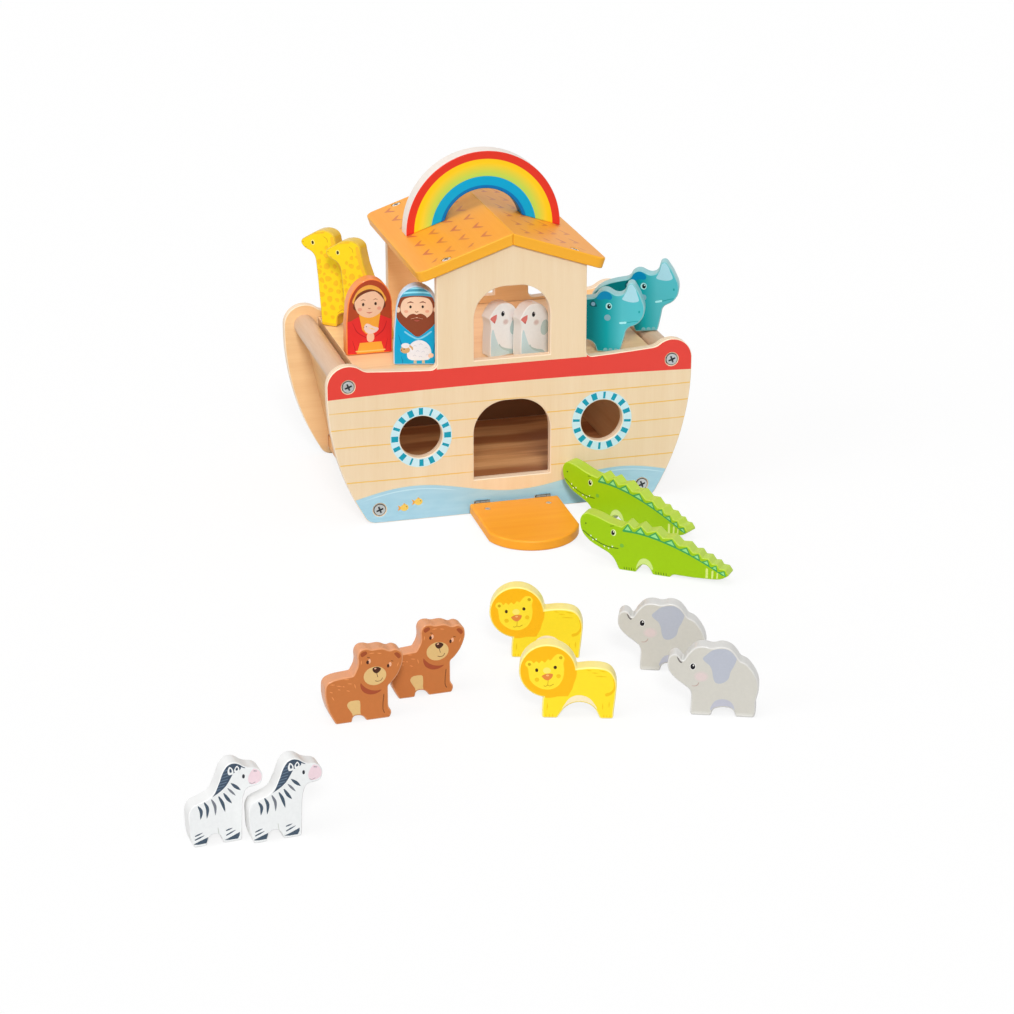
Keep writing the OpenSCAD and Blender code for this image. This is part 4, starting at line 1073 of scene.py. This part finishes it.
giraffeInk = {"spot": (247, 194, 34), "eye": (72, 54, 14), "halo": (254, 238, 140), "mane": (250, 194, 48),
              "line": (222, 168, 30)}
giraffeSpots = ((-9, 59.5, 3.2), (-17, 53.5, 2.4), (-7.5, 47.5, 3.0), (-0.5, 60.5, 2.1), (1.5, 53, 1.8),
                (-17.5, 63.5, 2.6), (-9.5, 70, 2.6), (-2, 69.5, 2.2), (-14.5, 45, 2.5), (0.5, 44, 2.6),
                (-11, 39, 2.2), (-5.5, 36.5, 2.6), (6.5, 46.5, 1.8), (3, 36, 2.3), (9, 37.5, 2.3), (-14.8, 31, 2.6),
                (-6.5, 27.5, 2.9), (1.5, 27.5, 2.2), (8.5, 28.8, 2.8), (14.5, 30, 2.2), (-13, 21, 2.4),
                (-3.5, 19, 2.6), (5.5, 20.5, 2.4), (13.5, 21.5, 2.5), (20, 22.5, 1.9), (-11.5, 12.5, 2.1),
                (-4, 9.5, 2.0), (18.5, 13.5, 2.1), (23.5, 10.5, 1.9), (-9, 78, 2.0), (-3.5, 79.5, 1.8),
                (-14.5, 72.5, 1.8), (-15.5, 58.5, 1.5), (-12, 51.5, 1.4), (-3.5, 54.5, 1.5))


def giraffePrint():
    ink = giraffeInk
    shapes = [(ink["mane"], stroke(((-3, 88), (-0.5, 77), (3.8, 66), (8.2, 56), (12, 46)), 3.4, 5.0, 4.6, 3.0))]
    for k, (u, v, size) in enumerate(giraffeSpots):  # each blot a little uneven
        turns = [2 * math.pi * (corner / 5 + 0.31 * k) for corner in range(5)]
        reach = [size * (1.06 + 0.2 * math.sin(7.3 * k + 2.9 * corner)) for corner in range(5)]
        corners = [(u + r * math.cos(a), v + r * math.sin(a)) for a, r in zip(turns, reach)]
        shapes.append((ink["spot"], patch(*corners)))
    shapes += [
        (ink["mane"], stroke(((-22, 91), (-17, 92.6), (-12, 93)), 2.2, 3.2, 2.4)),
        (ink["halo"], oval(-23.6, 81.6, 2.1, 2.5)), (ink["eye"], oval(-23.7, 81.5, 1.3, 1.7)),
        (ink["line"], oval(-34, 81.2, 0.7)),
        (ink["line"], stroke(((-35.5, 77.3), (-33, 76.6), (-30, 76.4)), 0.6)),
        (ink["line"], stroke(((-11.5, 88.5), (-8.5, 86.5), (-7.5, 83.5)), 0.7)),
        (ink["line"], stroke(((1.2, 14), (7.5, 18.2), (13.8, 14)), 0.4, 1.0, 0.4)),
    ]
    for foot in (-8, 22):
        shapes.append((ink["mane"], sharp((foot - 9, -1), (foot + 9, -1), (foot + 9, 3.2), (foot - 9, 3.2))))
    return shapes


# Dove

doveInk = {"beak": (230, 128, 120), "tip": (198, 98, 92), "eye": (30, 30, 34), "glint": (206, 208, 210),
           "blush": (236, 226, 220), "cheek": (224, 200, 194), "left": (206, 229, 232), "hem": (188, 210, 208),
           "right": (196, 215, 211)}


def dovePrint():
    ink = doveInk
    return [
        (ink["hem"], patch((9.5, 12), (12, 9.6), (17, 7), (25, 4.2), (26, -1), (8, -1))),
        (ink["left"], patch((2.8, 27.5), (0.8, 21), (0.3, 13), (0.3, 5), (0.6, -1), (16, -1), (21, 2.4), (14, 6.2),
                            (9.8, 10.4), (7.2, 16), (5, 22))),
        (ink["right"], patch((25, 32.8), (28.6, 33.2), (31, 28), (30, 22), (26.5, 18.8), (23, 20.5), (21.8, 25),
                             (23, 29.8))),
        (ink["beak"], sharp((-0.9, 38.3), (3.4, 40.4), (7.3, 41.3), (7.0, 37.4), (4.9, 32.8), (2.2, 35.3))),
        (ink["tip"], sharp((3.0, 34.4), (5.9, 35.2), (4.9, 32.8))),
        (ink["eye"], oval(13.9, 40.9, 1.8, 2.5)), (ink["glint"], oval(14.6, 42, 0.5, 0.6)),
        (ink["blush"], oval(17, 32.6, 3.3, 2.9)), (ink["cheek"], oval(17, 32.6, 2.2, 1.9)),
    ]


# Rhinoceros

rhinoInk = {"horn": (172, 223, 236), "crest": (0, 140, 190), "eye": (24, 30, 34), "halo": (178, 236, 236),
            "cheek": (130, 178, 192), "tooth": (174, 245, 250), "mouth": (38, 164, 170), "ear": (0, 88, 96),
            "earIn": (126, 168, 192), "toe": (122, 188, 194), "fold": (0, 112, 118)}


def rhinoPrint():
    ink = rhinoInk
    shapes = [
        (ink["horn"], patch((5, 64), (9, 67.5), (13, 66), (15.5, 58), (17.5, 52), (16.5, 50), (12, 49), (6, 50),
                            (2, 52), (4.5, 57))),
        (ink["crest"], patch((-22, 52), (-19, 58), (-15, 60.5), (-11, 58.5), (-7.5, 54), (-9, 51), (-14, 51.5),
                             (-18, 50.5))),
        (ink["halo"], oval(-10.4, 44.6, 2.9, 3.3)), (ink["eye"], oval(-10.1, 44.5, 1.8, 2.3)),
        (ink["tooth"], oval(-9.5, 45.4, 0.6)),
        (ink["cheek"], oval(-11.5, 33.5, 3)), (ink["tooth"], stroke(((0.5, 28.6), (5.5, 29.2)), 2.0)),
        (ink["mouth"], stroke(((6.5, 29), (12, 30.3), (17, 31)), 0.8)), (ink["mouth"], oval(18, 40, 0.9, 1.3)),
        (ink["ear"], patch((-28.5, 45), (-27, 49), (-25, 50), (-22.5, 47), (-21.5, 44), (-25, 43.5))),
        (ink["earIn"], oval(-25, 46.3, 1.9)),
        (ink["fold"], stroke(((-33, 44), (-34.5, 34), (-32.5, 24)), 0.3, 1.1, 0.3)),
        (ink["fold"], stroke(((-52, 39), (-55.5, 30), (-54.5, 20)), 0.3, 1.1, 0.3)),
    ]
    for u in (-13, -8.2, -3.4, -58, -53.2, -48.4):
        shapes.append((ink["toe"], oval(u, 1.9, 2.0)))
    return shapes


# Woman: veil, robe and a bird in the hands; a plain face

womanInk = {"veil": (180, 74, 42), "band": (246, 178, 78), "hair": (120, 60, 38), "skin": (246, 200, 166),
            "cheek": (238, 166, 140), "line": (176, 108, 84), "eye": (66, 44, 36), "mouth": (206, 94, 84),
            "dress": (247, 172, 62), "fold": (192, 36, 42), "hem": (252, 206, 120), "bird": (240, 214, 206),
            "beak": (232, 140, 70)}


def womanPrint():
    ink = womanInk
    return [
        (ink["veil"], sharp((-3, 32), (-3, 80), (48, 80), (48, 32), (41, 33.5), (36, 36), (32, 38), (23, 35.5),
                            (14, 38), (10, 36), (5, 33.5))),
        (ink["dress"], sharp((12.6, 39), (33, 39), (31.6, 31), (30.6, 24), (27, 20), (19, 20), (15.4, 24),
                             (14.2, 31))),
        (ink["dress"], sharp((9.5, 0), (36.5, 0), (33.5, 11.5), (13, 11.5))),
        (ink["hem"], stroke(((9, 3.4), (23, 3.2), (37, 3.4)), 1.1)),
        (ink["band"], patch((7.4, 50), (9, 57.6), (14.2, 64), (22.7, 67), (31.2, 64), (36.4, 57.6), (38, 50),
                            (22.7, 46))),
        (ink["hair"], patch((8.4, 44), (8.2, 51), (12.2, 59), (22.7, 63), (33.2, 59), (37.2, 51), (37, 44),
                            (22.7, 40))),
        (ink["skin"], patch((8.9, 47.4), (9.4, 53.6), (14.2, 59.4), (22.7, 61.6), (31.2, 59.4), (36, 53.6),
                            (36.5, 47.4), (32.4, 39.2), (22.7, 35.4), (13, 39.2))),
        (ink["hair"], patch((8.6, 51.6), (11.6, 58.2), (22.7, 62.8), (33.8, 58.2), (36.8, 51.6), (32.6, 57),
                            (27.4, 60.6), (19.4, 59.6), (12.8, 56))),
        (ink["eye"], oval(16.8, 48.6, 1.2, 1.6)), (ink["eye"], oval(28.6, 48.6, 1.2, 1.6)),
        (ink["line"], stroke(((14.6, 52.4), (16.8, 53.2), (19, 52.4)), 0.3, 0.8, 0.3)),
        (ink["line"], stroke(((26.4, 52.4), (28.6, 53.2), (30.8, 52.4)), 0.3, 0.8, 0.3)),
        (ink["line"], stroke(((21.9, 44.6), (22.7, 44.1), (23.5, 44.6)), 0.7)),
        (ink["mouth"], stroke(((20, 40.8), (22.7, 40.1), (25.4, 40.8)), 0.4, 1.1, 0.4)),
        (ink["cheek"], oval(13.5, 44, 2.0, 1.7)), (ink["cheek"], oval(31.9, 44, 2.0, 1.7)),
        (ink["fold"], stroke(((6.5, 31), (11, 22), (20.5, 15.4)), 0.4, 1.0, 0.5)),
        (ink["fold"], stroke(((39, 31), (35, 22), (25.8, 15.4)), 0.4, 1.0, 0.5)),
        (ink["fold"], stroke(((6, 14), (8.2, 6), (8.4, 1)), 0.3, 0.8, 0.3)),
        (ink["fold"], stroke(((39.6, 14), (37.8, 6), (37.6, 1)), 0.3, 0.8, 0.3)),
        (ink["skin"], patch((19.8, 14.4), (21.6, 12), (24.6, 12), (26.6, 14.4), (26.4, 19), (23.2, 21.4), (20, 19))),
        (ink["bird"], patch((17, 25.6), (19, 29.6), (22, 29.4), (25.6, 27), (31, 24.6), (29, 21.4), (24, 19.8),
                            (19.6, 21))),
        (ink["hem"], stroke(((21.6, 25.6), (25, 24.6), (27.6, 23)), 0.4, 1.3, 0.3)),
        (ink["eye"], oval(19.5, 27, 0.5)), (ink["beak"], sharp((17.3, 27.2), (15.6, 26), (17.6, 25.6))),
    ]


# Man: cap, beard, robe and a lamb on the arm; a plain face

manInk = {"hair": (140, 70, 44), "skin": (245, 206, 174), "cheek": (238, 172, 142), "eye": (58, 42, 36),
          "line": (176, 112, 78), "cap": (72, 162, 194), "stripe": (152, 232, 250), "collar": (128, 208, 236),
          "fold": (10, 124, 176), "wool": (236, 236, 241), "curl": (206, 208, 220), "lamb": (210, 168, 114),
          "leg": (206, 190, 160), "mouth": (186, 88, 74)}


def manPrint():
    ink = manInk
    shapes = [
        (ink["collar"], stroke(((11, 32), (16.5, 28), (23, 25.2), (29.5, 28), (35, 32)), 1.6)),
        (ink["hair"], patch((3.2, 51), (3.6, 46), (7, 40), (15, 32.5), (22.5, 27.2), (30.5, 32), (37.5, 38.5),
                            (40.6, 45), (41, 51), (40.4, 58), (38, 64), (34, 66.4), (10.5, 66.4), (6, 64),
                            (3.6, 58))),
        (ink["skin"], oval(4.9, 53.2, 2.0, 2.6)), (ink["skin"], oval(39.2, 53.2, 2.0, 2.6)),
        (ink["skin"], patch((7.4, 52), (8, 59), (12, 64), (22, 65.6), (32, 64), (36, 59), (36.6, 52), (33, 46.6),
                            (28, 44.4), (22, 45.4), (16, 44.4), (11, 46.6))),
        (ink["hair"], patch((22, 48.2), (18.5, 49.4), (14.4, 47.6), (12.4, 44.2), (17, 44.6), (22, 46))),
        (ink["hair"], patch((22, 48.2), (25.5, 49.4), (29.6, 47.6), (31.6, 44.2), (27, 44.6), (22, 46))),
        (ink["mouth"], stroke(((19.8, 43), (22, 42.5), (24.2, 43)), 0.5, 1.1, 0.5)),
        (ink["eye"], oval(16.4, 56, 1.1, 1.4)), (ink["eye"], oval(27.6, 56, 1.1, 1.4)),
        (ink["hair"], stroke(((13.6, 59.6), (16.4, 60.6), (19, 59.8)), 0.5, 1.3, 0.6)),
        (ink["hair"], stroke(((25, 59.8), (27.6, 60.6), (30.4, 59.6)), 0.6, 1.3, 0.5)),
        (ink["line"], stroke(((20.8, 51.4), (22, 50.8), (23.2, 51.4)), 0.8)),
        (ink["cheek"], oval(12.3, 51.6, 1.9, 1.4)), (ink["cheek"], oval(31.7, 51.6, 1.9, 1.4)),
        (ink["cap"], patch((3, 62), (9, 65.4), (22, 66.6), (35, 65.4), (41, 62), (42, 68), (36, 76), (22, 81),
                           (8, 76), (2, 68))),
        (ink["stripe"], stroke(((2, 66.6), (12, 69.2), (22, 69.8), (32, 69.2), (42, 66.6)), 1.7)),
        (ink["stripe"], stroke(((4, 71.2), (13, 73.4), (22, 73.9), (31, 73.4), (40, 71.2)), 2.0)),
        (ink["fold"], stroke(((5, 29), (7.6, 20), (10.6, 11)), 0.4, 1.0, 0.5)),
        (ink["fold"], stroke(((39.4, 29), (38.4, 20), (36.2, 10)), 0.4, 1.0, 0.5)),
        (ink["fold"], stroke(((7, 9), (8.4, 4), (8.4, 1)), 0.3, 0.8, 0.3)),
        (ink["fold"], stroke(((38.8, 7), (38, 4), (38, 1)), 0.3, 0.8, 0.3)),
        (ink["leg"], sharp((18.6, 1.4), (21.4, 1.4), (21.2, 6), (18.8, 6))),
        (ink["leg"], sharp((26.2, 1.4), (29, 1.4), (28.8, 6), (26.4, 6))),
        (ink["wool"], patch((12.5, 10), (14, 17), (18, 22), (24, 24), (30, 22), (34, 17), (35, 10), (33, 5.5),
                            (27, 4.5), (18, 4.5), (14, 6))),
        (ink["skin"], oval(34.6, 9, 2.6, 2.2, 20)), (ink["lamb"], oval(11, 14.7, 4.4, 3.4)),
        (ink["wool"], oval(11.4, 18.7, 4, 2.5)),
        (ink["lamb"], stroke(((15.4, 18.4), (17.2, 16.6), (17.8, 14.8)), 1.6, 1.9, 1.0)),
        (ink["eye"], oval(10, 15.4, 0.6)), (ink["eye"], oval(7.6, 14.4, 0.5)),
    ]
    for u, v in ((20, 18), (25.5, 19.6), (30.2, 16), (22.4, 13), (27.6, 12.4), (31.6, 9.4), (19.6, 8.6), (25, 7.6)):
        shapes.append((ink["curl"], stroke(((u - 1.4, v), (u, v + 0.9), (u + 1.4, v)), 0.5)))
    return shapes


# Prints: one flat layer of ink on each face, cut to the flat of the wood

printLift = 0.04  # millimetres off the lacquer


def inkFinish():
    finish = Finish("printInk")
    tint = finish.node("ShaderNodeAttribute", {"attribute_name": "ink"}, None, "Color")
    spot = finish.spot()
    mottle = finish.noise(spot, 0.5, 4.0, 0.6)
    fine = finish.noise(spot, 2.0, 2.0)
    base = finish.mix((mottle - 0.35) * 0.8, tint, (0.86, 0.86, 0.86, 1.0), "MULTIPLY")
    return finish.surface(base=base, rough=0.4 + (fine - 0.5) * 0.1, coat=0.08, coatRough=0.25, gloss=0.14,
                          normal=finish.bump(fine, 0.04, 0.1))


printInk = inkFinish()


def cutShapes(shapes, clips):  # triangles of the topmost ink inside the clip outlines; no ink cuts a hole
    points, loops = [], []
    for outline in list(clips) + [outline for tint, outline in shapes]:
        area = sum(a[0] * b[1] - a[1] * b[0] for a, b in zip(outline, list(outline[1:]) + [outline[0]]))
        order = list(range(len(points), len(points) + len(outline)))
        loops.append(order if area > 0 else order[::-1])  # always anticlockwise
        points.extend(Vector((float(point[0]), float(point[1]))) for point in outline)
    spots, _, triangles, _, _, sources = delaunay_2d_cdt(points, [], loops, 1, 1e-4)
    kept = []
    for triangle, source in zip(triangles, sources):
        if source and min(source) < len(clips) <= max(source):
            tint = shapes[max(source) - len(clips)][0]
            if tint:
                kept.append((triangle, tint))
    return spots, kept


def layPrint(name, body, slotName, spots, kept, sides):
    work = bmesh.new()
    ink = work.loops.layers.float_color.new("ink")
    for place, mirrored in sides:
        made = {}
        for triangle, tint in kept:
            for k in triangle:
                if k not in made:
                    made[k] = work.verts.new(place(spots[k].x, spots[k].y))
            corners = [made[k] for k in triangle]
            face = work.faces.new(corners[::-1] if mirrored else corners)
            for loop in face.loops:
                loop[ink] = colour(*tint)
    mesh = bpy.data.meshes.new(name)
    work.to_mesh(mesh)
    work.free()
    mesh.materials.append(printInk)
    piece = bpy.data.objects.new(name, mesh)
    bpy.context.scene.collection.objects.link(piece)
    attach(piece, body)


prints = {"bear": bearPrint(), "lion": lionPrint(), "elephant": elephantPrint(), "zebra": zebraPrint(),
          "crocodile": crocodilePrint(), "giraffe": giraffePrint(), "dove": dovePrint(), "rhino": rhinoPrint(),
          "woman": womanPrint(), "man": manPrint()}
for name, slab in slabs.items():
    kind = kindOf(name)
    spots, kept = cutShapes(prints[kind], slab.faces())
    sides = ((lambda u, v, slab=slab: slab.place(u, v, -printLift), False),
             (lambda u, v, slab=slab: slab.place(u, v, slab.thick + printLift), True))
    layPrint(name + "_print", name, kind + "_paint", spots, kept, sides)
print("figures printed")


# Rings of blocks round the portholes, and small fish in the waves, on both panels

ringLook = {
    "pale": (208, 239, 246), "block": (24, 158, 184), "inner": 21.1, "outer": 29.2, "blockIn": 21.8, "blockOut": 28.4,
    "left": (0.0, (5.6, 4.0, 4.6, 2.0, 4.2, 5.4, 4.6, 3.0, 5.8, 4.2, 5.0, 2.0, 4.2, 5.0, 4.2, 2.8)),
    "right": (17.5, (4.5, 4.5, 4.2, 2.4, 5.5, 4.2, 5.2, 2.6, 4.4, 5.2, 4.0, 2.4, 5.5, 4.2, 4.8, 2.6)),
}
fishLook = {"body": (251, 208, 100), "tail": (242, 168, 76), "eye": (120, 84, 40),
            "swim": ((-90.5, 17.5, 1), (-104.0, 13.0, 1), (106.0, 13.0, -1))}


def ringPrint(x, z, first, widths):
    look = ringLook
    shapes = [(look["pale"], oval(x, z, look["outer"]))]
    middle = np.array((x, z))
    for k, width in enumerate(widths):
        a = math.radians(first + 360 / len(widths) * k)
        way, side = np.array((math.cos(a), math.sin(a))), np.array((-math.sin(a), math.cos(a)))
        narrow, wide = width * 0.46, width / 2
        ends = ((look["blockIn"], -narrow), (look["blockOut"], -wide), (look["blockOut"], wide),
                (look["blockIn"], narrow))
        shapes.append((look["block"], sharp(*[middle + way * r + side * s for r, s in ends])))
    shapes.append((None, oval(x, z, look["inner"])))
    return shapes


def fishPrint(x, z, way):
    ink = fishLook
    return [
        (ink["tail"], patch((x - way * 2.6, z), (x - way * 6.4, z + 2.7), (x - way * 5.4, z),
                            (x - way * 6.4, z - 2.7))),
        (ink["tail"], patch((x - way * 1.2, z + 2.6), (x - way * 0.4, z + 4.4), (x + way * 1.6, z + 2.8))),
        (ink["body"], oval(x, z, 3.9, 3.3)), (ink["eye"], oval(x + way * 2.0, z + 0.7, 0.5)),
    ]


panelShapes = []
for side, key in ((-1, "left"), (1, "right")):
    panelShapes += ringPrint(side * panelLook["portX"], panelLook["portZ"], *ringLook[key])
for x, z, way in fishLook["swim"]:
    panelShapes += fishPrint(x, z, way)
field = sharp((-150, 0), (150, 0), (150, 120), (-150, 120))
spots, kept = cutShapes(panelShapes, [field])
for name, outer, mirrored in (("front_panel", frontOuter - printLift, False),
                              ("back_panel", backOuter + printLift, True)):
    sides = ((lambda x, z, outer=outer: Vector((x, outer, z)) * mm, mirrored),)
    layPrint(name + "_print", "ark", "birch", spots, kept, sides)
print("panels printed")
